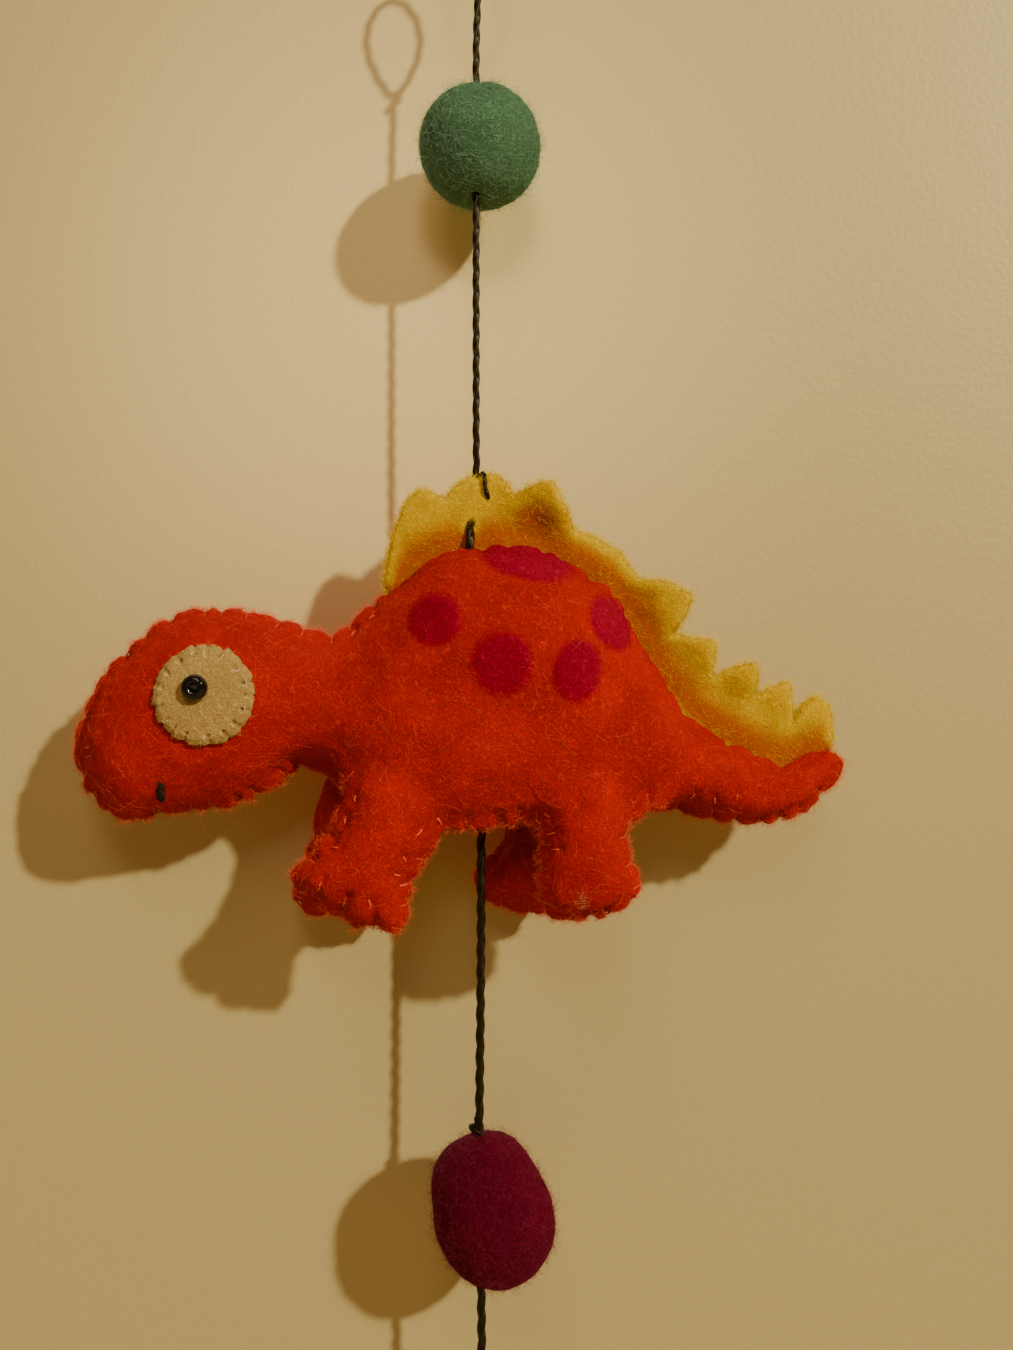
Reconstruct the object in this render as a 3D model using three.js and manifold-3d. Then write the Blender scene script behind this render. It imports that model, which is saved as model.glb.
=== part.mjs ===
import * as THREE from "three";
import { mergeVertices } from "three/addons/utils/BufferGeometryUtils.js";
import Module from "manifold-3d";

const wasm = await Module();
wasm.setup();

// A hanging felt mobile. X runs from the head to the tail, Y away from the viewer, Z up.
// The origin is the inner top of the hanging loop. All sizes are in millimetres.

// Fit and felt
const GAP = 0.3;
const SPLIT_HALF = GAP / 2;
const SEAM_HALF = 1.0;
const SEAM_WIDTH = 1.6;
const CREST_FELT = 2.2;
const CREST_HALF = CREST_FELT / 2;
const CREST_SEAM_HALF = CREST_HALF + GAP + SEAM_HALF;
const CREST_ROOT_DEPTH = 2.6;
const DISC_FELT = 1.5;
const MERGE_STEP = 1e-4;

// Heights below the hanging loop
const BODY_Z = -130.4;
const LOOP_KNOT_Z = -17.6;
const GREEN_Z = -42.4;
const CREST_BACK_Z = -100.0;
const PLUM_KNOT_Z = -200.1;
const PLUM_Z = -213.6;
const END_KNOT_Z = -241.6;

// The stuffed body without its legs, head first, a row for each section
const BODY_SECTIONS = [
  { x: -64.4, top: -10.7, bottom: -10.7, depth: 0.0 },
  { x: -63.7, top: -5.8, bottom: -14.4, depth: 3.2 },
  { x: -62.4, top: -1.9, bottom: -16.5, depth: 5.8 },
  { x: -60.5, top: 1.6, bottom: -18.6, depth: 7.8 },
  { x: -58.1, top: 5.1, bottom: -20.2, depth: 9.4 },
  { x: -54.9, top: 8.0, bottom: -21.1, depth: 10.8 },
  { x: -50.9, top: 11.0, bottom: -20.3, depth: 11.6 },
  { x: -46.1, top: 12.6, bottom: -19.7, depth: 12.0 },
  { x: -42.1, top: 13.3, bottom: -19.5, depth: 12.0 },
  { x: -38.1, top: 13.1, bottom: -18.6, depth: 11.6 },
  { x: -34.6, top: 12.5, bottom: -16.8, depth: 11.0 },
  { x: -30.9, top: 11.2, bottom: -14.4, depth: 10.3 },
  { x: -27.7, top: 10.1, bottom: -12.6, depth: 9.8 },
  { x: -24.5, top: 9.1, bottom: -13.4, depth: 9.9 },
  { x: -21.3, top: 9.6, bottom: -16.0, depth: 10.8 },
  { x: -18.1, top: 11.8, bottom: -18.4, depth: 12.0 },
  { x: -14.9, top: 15.0, bottom: -20.2, depth: 13.2 },
  { x: -10.9, top: 18.9, bottom: -21.3, depth: 14.4 },
  { x: -6.1, top: 22.2, bottom: -21.8, depth: 15.2 },
  { x: -0.5, top: 23.4, bottom: -21.8, depth: 15.6 },
  { x: 5.1, top: 23.8, bottom: -21.1, depth: 15.8 },
  { x: 10.7, top: 23.0, bottom: -20.5, depth: 15.6 },
  { x: 15.5, top: 20.6, bottom: -20.3, depth: 15.0 },
  { x: 20.3, top: 17.1, bottom: -20.3, depth: 14.0 },
  { x: 24.3, top: 12.8, bottom: -20.2, depth: 12.8 },
  { x: 27.5, top: 6.1, bottom: -19.8, depth: 11.4 },
  { x: 30.7, top: 1.1, bottom: -19.7, depth: 10.2 },
  { x: 33.9, top: -2.9, bottom: -20.2, depth: 9.2 },
  { x: 37.9, top: -5.9, bottom: -21.0, depth: 8.2 },
  { x: 41.9, top: -8.2, bottom: -21.6, depth: 7.2 },
  { x: 45.9, top: -10.2, bottom: -21.6, depth: 6.4 },
  { x: 49.1, top: -10.9, bottom: -21.0, depth: 5.7 },
  { x: 52.0, top: -10.4, bottom: -20.0, depth: 5.1 },
  { x: 54.4, top: -9.6, bottom: -18.1, depth: 4.5 },
  { x: 56.3, top: -9.4, bottom: -15.5, depth: 3.6 },
  { x: 57.8, top: -10.4, bottom: -13.4, depth: 2.4 },
  { x: 58.5, top: -11.8, bottom: -11.8, depth: 0.0 },
];
const BODY_AROUND = 22;
const BULGE_SHARE = 0.9;
const BULGE_REACH = 14;

// The flat underside between the legs
const BELLY = { from: -24, full: -14, taper: 22, to: 32, half: 9, round: 5 };
const GUSSET = { tip: -34.5, front: -33, back: 26, point: 34, half: 10, top: -17.6, foot: -50 };

// Leg outlines below the hip: fore is the side towards the head
const FRONT_LEG = [
  { down: -3.4, fore: 6.1, aft: 6.4 },
  { down: 0.0, fore: 7.6, aft: 7.6 },
  { down: 3.8, fore: 8.1, aft: 8.2 },
  { down: 6.9, fore: 8.1, aft: 7.8 },
  { down: 9.2, fore: 8.6, aft: 7.3 },
  { down: 11.5, fore: 9.2, aft: 6.7 },
  { down: 13.7, fore: 10.1, aft: 6.9 },
  { down: 16.0, fore: 10.8, aft: 7.6 },
  { down: 18.3, fore: 11.5, aft: 7.6 },
  { down: 20.0, fore: 10.8, aft: 7.6 },
];
const FRONT_TOES = [
  { across: -8.6, down: 21.1 },
  { across: -6.3, down: 21.8 },
  { across: -2.7, down: 21.1 },
  { across: -0.9, down: 22.3 },
  { across: 1.4, down: 22.3 },
  { across: 2.9, down: 20.9 },
  { across: 4.6, down: 21.7 },
  { across: 6.6, down: 21.5 },
];
const HIND_LEG = [
  { down: -3.1, fore: 4.6, aft: 4.6 },
  { down: 0.0, fore: 6.7, aft: 6.4 },
  { down: 3.1, fore: 7.5, aft: 6.9 },
  { down: 5.8, fore: 7.4, aft: 6.4 },
  { down: 8.4, fore: 7.3, aft: 6.7 },
  { down: 11.5, fore: 7.6, aft: 7.8 },
  { down: 14.0, fore: 7.6, aft: 8.9 },
  { down: 16.0, fore: 7.5, aft: 8.6 },
  { down: 17.7, fore: 7.2, aft: 7.6 },
];
const HIND_TOES = [
  { across: -6.1, down: 19.7 },
  { across: -3.1, down: 20.2 },
  { across: -1.1, down: 20.5 },
  { across: 0.6, down: 19.7 },
  { across: 2.7, down: 20.0 },
  { across: 4.3, down: 19.1 },
  { across: 5.8, down: 18.2 },
];
const LEG_AROUND = 32;
const LEG_RINGS = 8;
const LEG_DEPTH = 6.3;
const LEG_REACH = 6.0;

// Where the four legs hang: lean turns the foot towards the head
const LEGS = [
  { rows: FRONT_LEG, toes: FRONT_TOES, x: -11.7, y: -10, z: -15.2, lean: 19.3 },
  { rows: HIND_LEG, toes: HIND_TOES, x: 16.7, y: -10, z: -15.2, lean: 0 },
  { rows: FRONT_LEG, toes: FRONT_TOES, x: -19.4, y: 10, z: -17.0, lean: 4 },
  { rows: HIND_LEG, toes: HIND_TOES, x: 12.8, y: 10, z: -18.6, lean: 25 },
];

// The crest's outer edge, from the neck to the tail: root is the place on the back
// that carries it, lean is how far the edge tips away from the viewer
const CREST = [
  { root: -14.9, x: -14.7, z: 17.0, lean: 0.0 },
  { root: -14.0, x: -13.4, z: 24.0, lean: -0.6 },
  { root: -12.8, x: -11.4, z: 29.1, lean: -1.0 },
  { root: -10.8, x: -9.3, z: 31.4, lean: -1.1 },
  { root: -8.8, x: -7.2, z: 30.9, lean: -0.8 },
  { root: -6.4, x: -5.0, z: 29.8, lean: -0.3 },
  { root: -5.0, x: -3.8, z: 32.0, lean: 0.0 },
  { root: -2.5, x: -1.4, z: 33.8, lean: 0.2 },
  { root: -0.3, x: 0.3, z: 33.1, lean: 0.2 },
  { root: 1.6, x: 1.9, z: 34.4, lean: 0.2 },
  { root: 3.8, x: 4.0, z: 33.3, lean: 0.0 },
  { root: 5.4, x: 5.6, z: 30.6, lean: -0.8 },
  { root: 8.6, x: 9.3, z: 32.3, lean: -2.4 },
  { root: 10.6, x: 11.7, z: 32.8, lean: -3.0 },
  { root: 12.4, x: 13.1, z: 29.4, lean: -2.2 },
  { root: 14.4, x: 15.2, z: 25.0, lean: -0.8 },
  { root: 16.6, x: 17.4, z: 24.3, lean: 0.3 },
  { root: 18.6, x: 19.7, z: 23.4, lean: 1.0 },
  { root: 20.6, x: 22.6, z: 21.9, lean: 1.0 },
  { root: 22.0, x: 23.7, z: 19.8, lean: 0.4 },
  { root: 23.4, x: 25.4, z: 17.4, lean: -0.6 },
  { root: 25.4, x: 30.9, z: 16.5, lean: -2.2 },
  { root: 26.6, x: 33.6, z: 14.6, lean: -2.8 },
  { root: 27.4, x: 32.3, z: 11.7, lean: -2.2 },
  { root: 28.0, x: 30.2, z: 8.8, lean: -1.0 },
  { root: 29.4, x: 33.9, z: 7.8, lean: -1.6 },
  { root: 31.0, x: 37.4, z: 7.5, lean: -2.2 },
  { root: 33.4, x: 37.0, z: 1.8, lean: -0.8 },
  { root: 37.0, x: 41.8, z: 3.8, lean: -1.2 },
  { root: 39.2, x: 44.0, z: 4.0, lean: -1.4 },
  { root: 41.2, x: 44.0, z: -1.4, lean: -0.2 },
  { root: 44.4, x: 47.5, z: 0.2, lean: 0.8 },
  { root: 46.8, x: 49.8, z: 1.0, lean: 1.3 },
  { root: 48.2, x: 49.9, z: -2.4, lean: 0.8 },
  { root: 49.2, x: 50.1, z: -6.4, lean: 0.2 },
  { root: 51.0, x: 52.0, z: -2.6, lean: 0.9 },
  { root: 53.2, x: 54.4, z: -1.1, lean: 1.4 },
  { root: 55.2, x: 56.2, z: -2.6, lean: 1.2 },
  { root: 55.8, x: 56.3, z: -7.2, lean: 0.4 },
];
const CREST_STEPS = CREST.length - 1;
const CREST_ROWS = 3;
const CREST_BLEND = 3;

// Eye, bead and mouth on the head, relative to the body's middle
const EYE = { x: -41.2, z: -0.6, radius: 7.65, lobe: 0.22, lobes: 17, around: 51, rings: 6 };
const BEAD = { x: -42.1, z: 0.5, radius: 2.0, hole: 0.5, half: 1.1, around: 14, profile: 8 };
const MOUTH = [
  { x: -48.9, z: -14.2 },
  { x: -49.0, z: -15.4 },
  { x: -48.8, z: -16.6 },
  { x: -48.5, z: -17.7 },
];
const MOUTH_RADIUS = 0.6;

// Felted balls
const GREEN = { x: 0.26, y: 2.9, wide: 9.9, tall: 9.9, tilt: 0, egg: 0 };
const PLUM = { x: 2.2, y: 0, wide: 10.0, tall: 12.4, tilt: 9, egg: 0.04 };
const BALL_AROUND = 24;
const BALL_RINGS = 16;
const BALL_UNEVEN = 0.012;

// Cord and knots
const CORD_RADIUS = 0.5;
const CORD_SIDES = 8;
const CORD_STEP = 2.3;
const BORE_RADIUS = CORD_RADIUS + GAP;
const BORE_SIDES = 10;
const KNOT = { wide: 1.5, tall: 1.15, grooves: 3, groove: 0.1, around: 14, rings: 8 };
const LOOP_HALF = 4.2;
const PLY_RADIUS = 0.35;

const CORD_TOP_PATH = [
  { x: 0.0, y: 0.0, z: LOOP_KNOT_Z - KNOT.tall - GAP },
  { x: -0.3, y: 0.0, z: -30.0 },
  { x: -0.3, y: 0.0, z: -60.0 },
  { x: -0.3, y: 0.0, z: -88.0 },
  { x: -0.3, y: 0.8, z: -94.5 },
  { x: -0.6, y: 2.1, z: -97.6 },
  { x: -0.8, y: 2.2, z: CREST_BACK_Z + SPLIT_HALF },
];
const CORD_BODY_PATH = [
  { x: -0.8, y: 2.2, z: CREST_BACK_Z - SPLIT_HALF },
  { x: -1.0, y: 1.7, z: -101.9 },
  { x: -1.1, y: 0.0, z: -103.3 },
  { x: -1.2, y: -1.7, z: -104.8 },
  { x: -1.2, y: -2.3, z: -106.8 },
  { x: -1.2, y: -2.2, z: -108.6 },
  { x: -1.0, y: -1.2, z: -112.0 },
  { x: -0.4, y: -0.2, z: -120.0 },
  { x: 0.4, y: 0.0, z: -140.0 },
  { x: 0.5, y: 0.0, z: -160.0 },
  { x: 0.4, y: 0.0, z: -180.0 },
  { x: 0.2, y: 0.0, z: PLUM_KNOT_Z + KNOT.tall + GAP },
];
const CORD_TAIL_PATH = [
  { x: 0.2, y: 0.0, z: PLUM_KNOT_Z - KNOT.tall - GAP },
  { x: 0.5, y: 0.0, z: -226.0 },
  { x: 0.6, y: 0.0, z: END_KNOT_Z + KNOT.tall + GAP },
];
const STITCH_PATH = [
  { x: 0.6, y: 1.5, z: -96.4 },
  { x: 0.5, y: 0.6, z: -96.2 },
  { x: 0.7, y: -0.9, z: -96.4 },
  { x: 1.0, y: -1.9, z: -98.0 },
  { x: 1.2, y: -1.9, z: -99.8 },
];
const STITCH_STEPS = 8;

// Colours of the felt, thread, glass and waxed cord
const COLOURS = {
  orange: 0xc4330c,
  yellow: 0xd9a514,
  cream: 0xd6c08c,
  black: 0x0d0c10,
  green: 0x559068,
  plum: 0x6f1236,
  cord: 0x1a1712,
};

// Curves through a table's columns, read at any place along it
function trackOf(rows, place, columns) {
  const places = rows.map(place);
  const values = rows.flatMap((row) => columns.map((column) => row[column]));
  return new THREE.CubicInterpolant(places, values, columns.length);
}

const bodyTrack = trackOf(BODY_SECTIONS, (row) => row.x, ["top", "bottom", "depth"]);

function sectionAt(x) {
  const [top, bottom, depth] = bodyTrack.evaluate(x);
  return { top, bottom, depth };
}

// Body stations: each row of the table and one between each two rows
function bodyStations() {
  return BODY_SECTIONS.flatMap((row, i) => {
    const next = BODY_SECTIONS[i + 1];
    return next ? [row.x, (row.x + next.x) / 2] : [row.x];
  });
}

const STATIONS = bodyStations();

function bodyOutline() {
  const over = STATIONS.map((x) => new THREE.Vector2(x, sectionAt(x).top));
  const under = STATIONS.map((x) => new THREE.Vector2(x, sectionAt(x).bottom));
  return [...over, ...under.reverse()];
}

function distanceToOutline(outline, x, z) {
  let nearest = Infinity;
  outline.forEach((a, i) => {
    const b = outline[(i + 1) % outline.length];
    const along = b.clone().sub(a);
    const length = Math.max(along.lengthSq(), MERGE_STEP);
    const share = THREE.MathUtils.clamp(((x - a.x) * along.x + (z - a.y) * along.y) / length, 0, 1);
    nearest = Math.min(nearest, Math.hypot(a.x + share * along.x - x, a.y + share * along.y - z));
  });
  return nearest;
}

// A quarter round that starts upright at the edge and is level after one radius
function quarterRound(share) {
  const rest = 1 - THREE.MathUtils.clamp(share, 0, 1);
  return Math.sqrt(1 - rest * rest);
}

// Half the thickness of stuffed felt at a distance inside its sewn edge
function puffed(distance, edgeHalf, edgeRound, reach, depth) {
  const edge = edgeHalf * quarterRound(distance / edgeRound);
  const crown = quarterRound((distance - SEAM_WIDTH) / (reach - SEAM_WIDTH));
  return edge + Math.max(depth - edge, 0) * crown;
}

// The back seam is thicker where it holds the crest
function backSeamHalf(x) {
  const first = CREST[0].root;
  const last = CREST.at(-1).root;
  const share =
    THREE.MathUtils.smoothstep(x, first - CREST_BLEND, first - 1) *
    (1 - THREE.MathUtils.smoothstep(x, last + 1, last + CREST_BLEND));
  return THREE.MathUtils.lerp(SEAM_HALF, CREST_SEAM_HALF, share);
}

function bellyShare(x) {
  const front = THREE.MathUtils.smoothstep(x, BELLY.from, BELLY.full);
  const back = THREE.MathUtils.smoothstep(x, BELLY.taper, BELLY.to);
  return front * (1 - back);
}

const OUTLINE = bodyOutline();

function bodyHalf(x, z) {
  const { top, bottom, depth } = sectionAt(x);
  const halfHeight = (top - bottom) / 2;
  const reach = Math.max(Math.min(halfHeight * BULGE_SHARE, BULGE_REACH), 2 * SEAM_WIDTH);
  const distance = distanceToOutline(OUTLINE, x, z);
  if (z > (top + bottom) / 2) {
    const half = Math.min(backSeamHalf(x), Math.max(depth, MERGE_STEP));
    return puffed(distance, half, half, reach, depth);
  }
  const share = bellyShare(x);
  const half = THREE.MathUtils.lerp(Math.min(SEAM_HALF, Math.max(depth, MERGE_STEP)), BELLY.half, share);
  const round = THREE.MathUtils.lerp(SEAM_HALF, BELLY.round, share);
  return puffed(distance, half, round, reach, depth);
}

// Body: a ball drawn out along the sections, its ridge lying on the seam
function bodyGeometry() {
  const rings = STATIONS.length - 1;
  const geometry = new THREE.SphereGeometry(1, BODY_AROUND, rings);
  const uv = geometry.getAttribute("uv");
  const position = geometry.getAttribute("position");
  for (let i = 0; i < position.count; i++) {
    const x = STATIONS[Math.round((1 - uv.getY(i)) * rings)];
    const turn = uv.getX(i) * 2 * Math.PI;
    const { top, bottom } = sectionAt(x);
    const z = (top + bottom) / 2 + ((top - bottom) / 2) * Math.cos(turn);
    const side = Math.abs(Math.sin(turn)) < MERGE_STEP ? 0 : Math.sign(Math.sin(turn));
    position.setXYZ(i, x, top > bottom ? side * bodyHalf(x, z) : 0, z);
  }
  return geometry;
}

// A stuffed pad whose outline is a closed curve in X and Z
function padGeometry(outline, centre, rings, halfAt) {
  const geometry = new THREE.SphereGeometry(1, outline.length, rings);
  const uv = geometry.getAttribute("uv");
  const position = geometry.getAttribute("position");
  for (let i = 0; i < position.count; i++) {
    const turn = THREE.MathUtils.euclideanModulo(uv.getX(i), 1);
    const edge = outline[Math.round(turn * outline.length) % outline.length];
    const fall = (1 - uv.getY(i)) * Math.PI;
    const spot = centre.clone().lerp(edge, Math.sin(fall));
    const side = Math.abs(Math.cos(fall)) < MERGE_STEP ? 0 : -Math.sign(Math.cos(fall));
    position.setXYZ(i, spot.x, side * halfAt(spot.x, spot.y), spot.y);
  }
  return geometry;
}

function legOutline(rows, toes) {
  const fore = rows.map((row) => new THREE.Vector3(-row.fore, -row.down, 0));
  const foot = toes.map((toe) => new THREE.Vector3(toe.across, -toe.down, 0));
  const aft = rows.map((row) => new THREE.Vector3(row.aft, -row.down, 0)).reverse();
  const curve = new THREE.CatmullRomCurve3([...fore, ...foot, ...aft], true);
  const points = curve.getSpacedPoints(LEG_AROUND).slice(0, LEG_AROUND);
  return points.map((point) => new THREE.Vector2(point.x, point.y));
}

function legGeometry(leg) {
  const outline = legOutline(leg.rows, leg.toes);
  const centre = new THREE.Vector2(0, -leg.rows.at(-1).down / 2);
  const halfAt = (x, z) =>
    puffed(distanceToOutline(outline, x, z), SEAM_HALF, SEAM_HALF, LEG_REACH, LEG_DEPTH);
  return padGeometry(outline, centre, LEG_RINGS, halfAt)
    .rotateY(THREE.MathUtils.degToRad(leg.lean))
    .translate(leg.x, leg.y, leg.z);
}

// Crest: a strip of felt cut in teeth, standing in the back seam and waving a little
function backPoint(x) {
  const step = 0.2;
  const z = sectionAt(x).top;
  const rise = (sectionAt(x + step).top - sectionAt(x - step).top) / (2 * step);
  const outward = new THREE.Vector2(-rise, 1).normalize();
  return { spot: new THREE.Vector2(x, z), outward };
}

function crestRow(share) {
  const place = share * (CREST.length - 1);
  const i = Math.min(Math.floor(place), CREST.length - 2);
  const [from, to, part] = [CREST[i], CREST[i + 1], place - i];
  const mix = (column) => THREE.MathUtils.lerp(from[column], to[column], part);
  return { root: mix("root"), x: mix("x"), z: mix("z"), lean: mix("lean") };
}

function crestGeometry(grow) {
  const geometry = new THREE.BoxGeometry(1, 1, 1, CREST_STEPS, 1, CREST_ROWS);
  const position = geometry.getAttribute("position");
  for (let i = 0; i < position.count; i++) {
    const share = position.getX(i) + 0.5;
    const height = position.getZ(i) + 0.5;
    const row = crestRow(share);
    const { spot, outward } = backPoint(row.root);
    const root = spot.addScaledVector(outward, -CREST_ROOT_DEPTH - grow);
    const edge = new THREE.Vector2(row.x, row.z);
    const place = root.lerp(edge, height);
    const end = share < MERGE_STEP ? -grow : share > 1 - MERGE_STEP ? grow : 0;
    const across = position.getY(i) * (CREST_FELT + 2 * grow);
    position.setXYZ(i, place.x + end, across + row.lean * height * height, place.y);
  }
  return geometry;
}

// Solids for joining and cutting
function solidOf(geometry) {
  const bare = geometry.clone();
  bare.deleteAttribute("normal");
  bare.deleteAttribute("uv");
  const merged = mergeVertices(bare, MERGE_STEP);
  const vertProperties = new Float32Array(merged.getAttribute("position").array);
  const triVerts = new Uint32Array(merged.index.array);
  return new wasm.Manifold(new wasm.Mesh({ numProp: 3, vertProperties, triVerts }));
}

function geometryOf(solid) {
  const mesh = solid.getMesh();
  const geometry = new THREE.BufferGeometry();
  geometry.setAttribute("position", new THREE.BufferAttribute(mesh.vertProperties, 3));
  geometry.setIndex(new THREE.BufferAttribute(mesh.triVerts, 1));
  geometry.computeVertexNormals();
  return geometry;
}

function largestOf(solid) {
  return solid.decompose().reduce((a, b) => (a.volume() > b.volume() ? a : b));
}

function tubeGeometry(path, radius, sides, steps) {
  const curve = new THREE.CatmullRomCurve3(path.map((row) => new THREE.Vector3(row.x, row.y, row.z)));
  const ring = Array.from({ length: sides }, (_, i) => {
    const turn = (2 * Math.PI * i) / sides;
    return new THREE.Vector2(radius * Math.cos(turn), radius * Math.sin(turn));
  });
  return new THREE.ExtrudeGeometry(new THREE.Shape(ring), {
    steps: steps ?? Math.round(curve.getLength() / CORD_STEP),
    extrudePath: curve,
    bevelEnabled: false,
  });
}

// The underbody piece, wide enough for the inner faces of the legs
function gussetBlock(grow) {
  const half = GUSSET.half + grow;
  const plan = new THREE.Shape([
    new THREE.Vector2(GUSSET.tip - grow, 0),
    new THREE.Vector2(GUSSET.front - grow, -half),
    new THREE.Vector2(GUSSET.back + grow, -half),
    new THREE.Vector2(GUSSET.point + grow, 0),
    new THREE.Vector2(GUSSET.back + grow, half),
    new THREE.Vector2(GUSSET.front - grow, half),
  ]);
  const depth = GUSSET.top + grow - GUSSET.foot;
  return new THREE.ExtrudeGeometry(plan, { depth, bevelEnabled: false }).translate(0, 0, GUSSET.foot);
}

function sideBlock(side) {
  const block = new THREE.BoxGeometry(160, 40, 120);
  return block.translate(0, side * (20 + SPLIT_HALF), 0);
}

function bodySolids() {
  const bore = solidOf(
    tubeGeometry(CORD_BODY_PATH, BORE_RADIUS, BORE_SIDES).translate(0, 0, -BODY_Z),
  );
  let whole = solidOf(bodyGeometry());
  LEGS.forEach((leg) => {
    whole = whole.add(solidOf(legGeometry(leg)));
  });
  const slot = solidOf(crestGeometry(GAP));
  const gusset = whole.intersect(solidOf(gussetBlock(0))).subtract(bore);
  const sides = whole.subtract(solidOf(gussetBlock(GAP))).subtract(slot).subtract(bore);
  return {
    near: largestOf(sides.intersect(solidOf(sideBlock(-1)))),
    far: largestOf(sides.intersect(solidOf(sideBlock(1)))),
    gusset: largestOf(gusset),
    crest: solidOf(crestGeometry(0)).subtract(bore),
  };
}

// Eyes: a scalloped disc that follows the head, with a bead sewn flat on it
function eyeDiscGeometry(side) {
  const outline = Array.from({ length: EYE.around }, (_, i) => {
    const turn = (2 * Math.PI * i) / EYE.around;
    const radius = EYE.radius + EYE.lobe * Math.cos(EYE.lobes * turn);
    return new THREE.Vector2(EYE.x + radius * Math.cos(turn), EYE.z + radius * Math.sin(turn));
  });
  const centre = new THREE.Vector2(EYE.x, EYE.z);
  const halfAt = (x, z) => (DISC_FELT / 2) * quarterRound(distanceToOutline(outline, x, z));
  const geometry = padGeometry(outline, centre, EYE.rings, halfAt);
  const position = geometry.getAttribute("position");
  for (let i = 0; i < position.count; i++) {
    const lift = bodyHalf(position.getX(i), position.getZ(i)) + GAP + DISC_FELT / 2;
    position.setY(i, position.getY(i) + side * lift);
  }
  return geometry;
}

function eyeBeadGeometry(side) {
  const middle = (BEAD.radius + BEAD.hole) / 2;
  const across = (BEAD.radius - BEAD.hole) / 2;
  const profile = Array.from({ length: BEAD.profile + 1 }, (_, i) => {
    const turn = (-2 * Math.PI * (i % BEAD.profile)) / BEAD.profile;
    return new THREE.Vector2(middle + across * Math.cos(turn), BEAD.half * Math.sin(turn));
  });
  const lift = bodyHalf(BEAD.x, BEAD.z) + GAP + DISC_FELT + GAP + BEAD.half;
  const bead = new THREE.LatheGeometry(profile.reverse(), BEAD.around);
  return bead.translate(BEAD.x, side * lift, BEAD.z);
}

// A spot lifted square off the head's side
function liftedSpot(x, z, lift) {
  const step = 0.2;
  const slopeX = (bodyHalf(x + step, z) - bodyHalf(x - step, z)) / (2 * step);
  const slopeZ = (bodyHalf(x, z + step) - bodyHalf(x, z - step)) / (2 * step);
  const outward = new THREE.Vector3(-slopeX, 1, -slopeZ).normalize();
  return new THREE.Vector3(x, bodyHalf(x, z), z).addScaledVector(outward, lift);
}

function mouthGeometry(side) {
  const path = MOUTH.map((row) => {
    const spot = liftedSpot(row.x, row.z, GAP + MOUTH_RADIUS);
    return { x: spot.x, y: side * spot.y, z: spot.z };
  });
  return tubeGeometry(path, MOUTH_RADIUS, CORD_SIDES, MOUTH.length);
}

// Felted balls, a little uneven, with the cord's bore
function ballGeometry(ball) {
  const geometry = new THREE.SphereGeometry(1, BALL_AROUND, BALL_RINGS);
  const position = geometry.getAttribute("position");
  const spot = new THREE.Vector3();
  for (let i = 0; i < position.count; i++) {
    spot.fromBufferAttribute(position, i);
    const lump = 1 + BALL_UNEVEN * Math.sin(3 * spot.x + 2) * Math.cos(4 * spot.z + 2 * spot.y);
    const wide = ball.wide * lump * (1 - ball.egg * spot.y);
    position.setXYZ(i, wide * spot.x, wide * -spot.z, ball.tall * lump * spot.y);
  }
  return geometry.rotateY(THREE.MathUtils.degToRad(-ball.tilt));
}

function boredBall(ball, z, path) {
  const bore = solidOf(tubeGeometry(path, BORE_RADIUS, BORE_SIDES).translate(-ball.x, -ball.y, -z));
  return geometryOf(solidOf(ballGeometry(ball)).subtract(bore));
}

// A small tight knot, its turns showing as slanting grooves
function knotGeometry() {
  const geometry = new THREE.SphereGeometry(1, KNOT.around, KNOT.rings);
  const position = geometry.getAttribute("position");
  for (let i = 0; i < position.count; i++) {
    const [x, y, z] = [position.getX(i), position.getY(i), position.getZ(i)];
    const turn = Math.atan2(z, x);
    const ring = Math.hypot(x, z);
    const lump = 1 + KNOT.groove * ring * Math.cos(KNOT.grooves * turn + 2 * y);
    position.setXYZ(i, KNOT.wide * lump * x, KNOT.wide * lump * -z, KNOT.tall * y);
  }
  return geometry;
}

function loopPath() {
  const foot = LOOP_KNOT_Z + KNOT.tall + GAP;
  const top = CORD_RADIUS;
  return [
    { x: -0.6, y: 0, z: foot },
    { x: -LOOP_HALF, y: 0, z: foot * 0.6 },
    { x: -LOOP_HALF, y: 0, z: foot * 0.25 },
    { x: 0, y: 0, z: top },
    { x: LOOP_HALF, y: 0, z: foot * 0.25 },
    { x: LOOP_HALF, y: 0, z: foot * 0.6 },
    { x: 0.6, y: 0, z: foot },
  ];
}

function place(group, name, geometry, colour, roughness, x = 0, y = 0, z = 0) {
  const material = new THREE.MeshStandardMaterial({ color: colour, roughness, metalness: 0 });
  const mesh = new THREE.Mesh(geometry, material);
  mesh.name = name;
  mesh.position.set(x, y, z);
  group.add(mesh);
}

function dinosaur() {
  const group = new THREE.Group();
  const { near, far, gusset, crest } = bodySolids();
  place(group, "side_panel_near", geometryOf(near), COLOURS.orange, 0.95);
  place(group, "side_panel_far", geometryOf(far), COLOURS.orange, 0.95);
  place(group, "belly_gusset", geometryOf(gusset), COLOURS.orange, 0.95);
  place(group, "crest", geometryOf(crest), COLOURS.yellow, 0.95);
  [
    { end: "near", side: -1 },
    { end: "far", side: 1 },
  ].forEach(({ end, side }) => {
    place(group, "eye_disc_" + end, eyeDiscGeometry(side), COLOURS.cream, 0.95);
    place(group, "eye_bead_" + end, eyeBeadGeometry(side), COLOURS.black, 0.1);
    place(group, "mouth_stitch_" + end, mouthGeometry(side), COLOURS.black, 0.8);
  });
  group.position.z = BODY_Z;
  return group;
}

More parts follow.
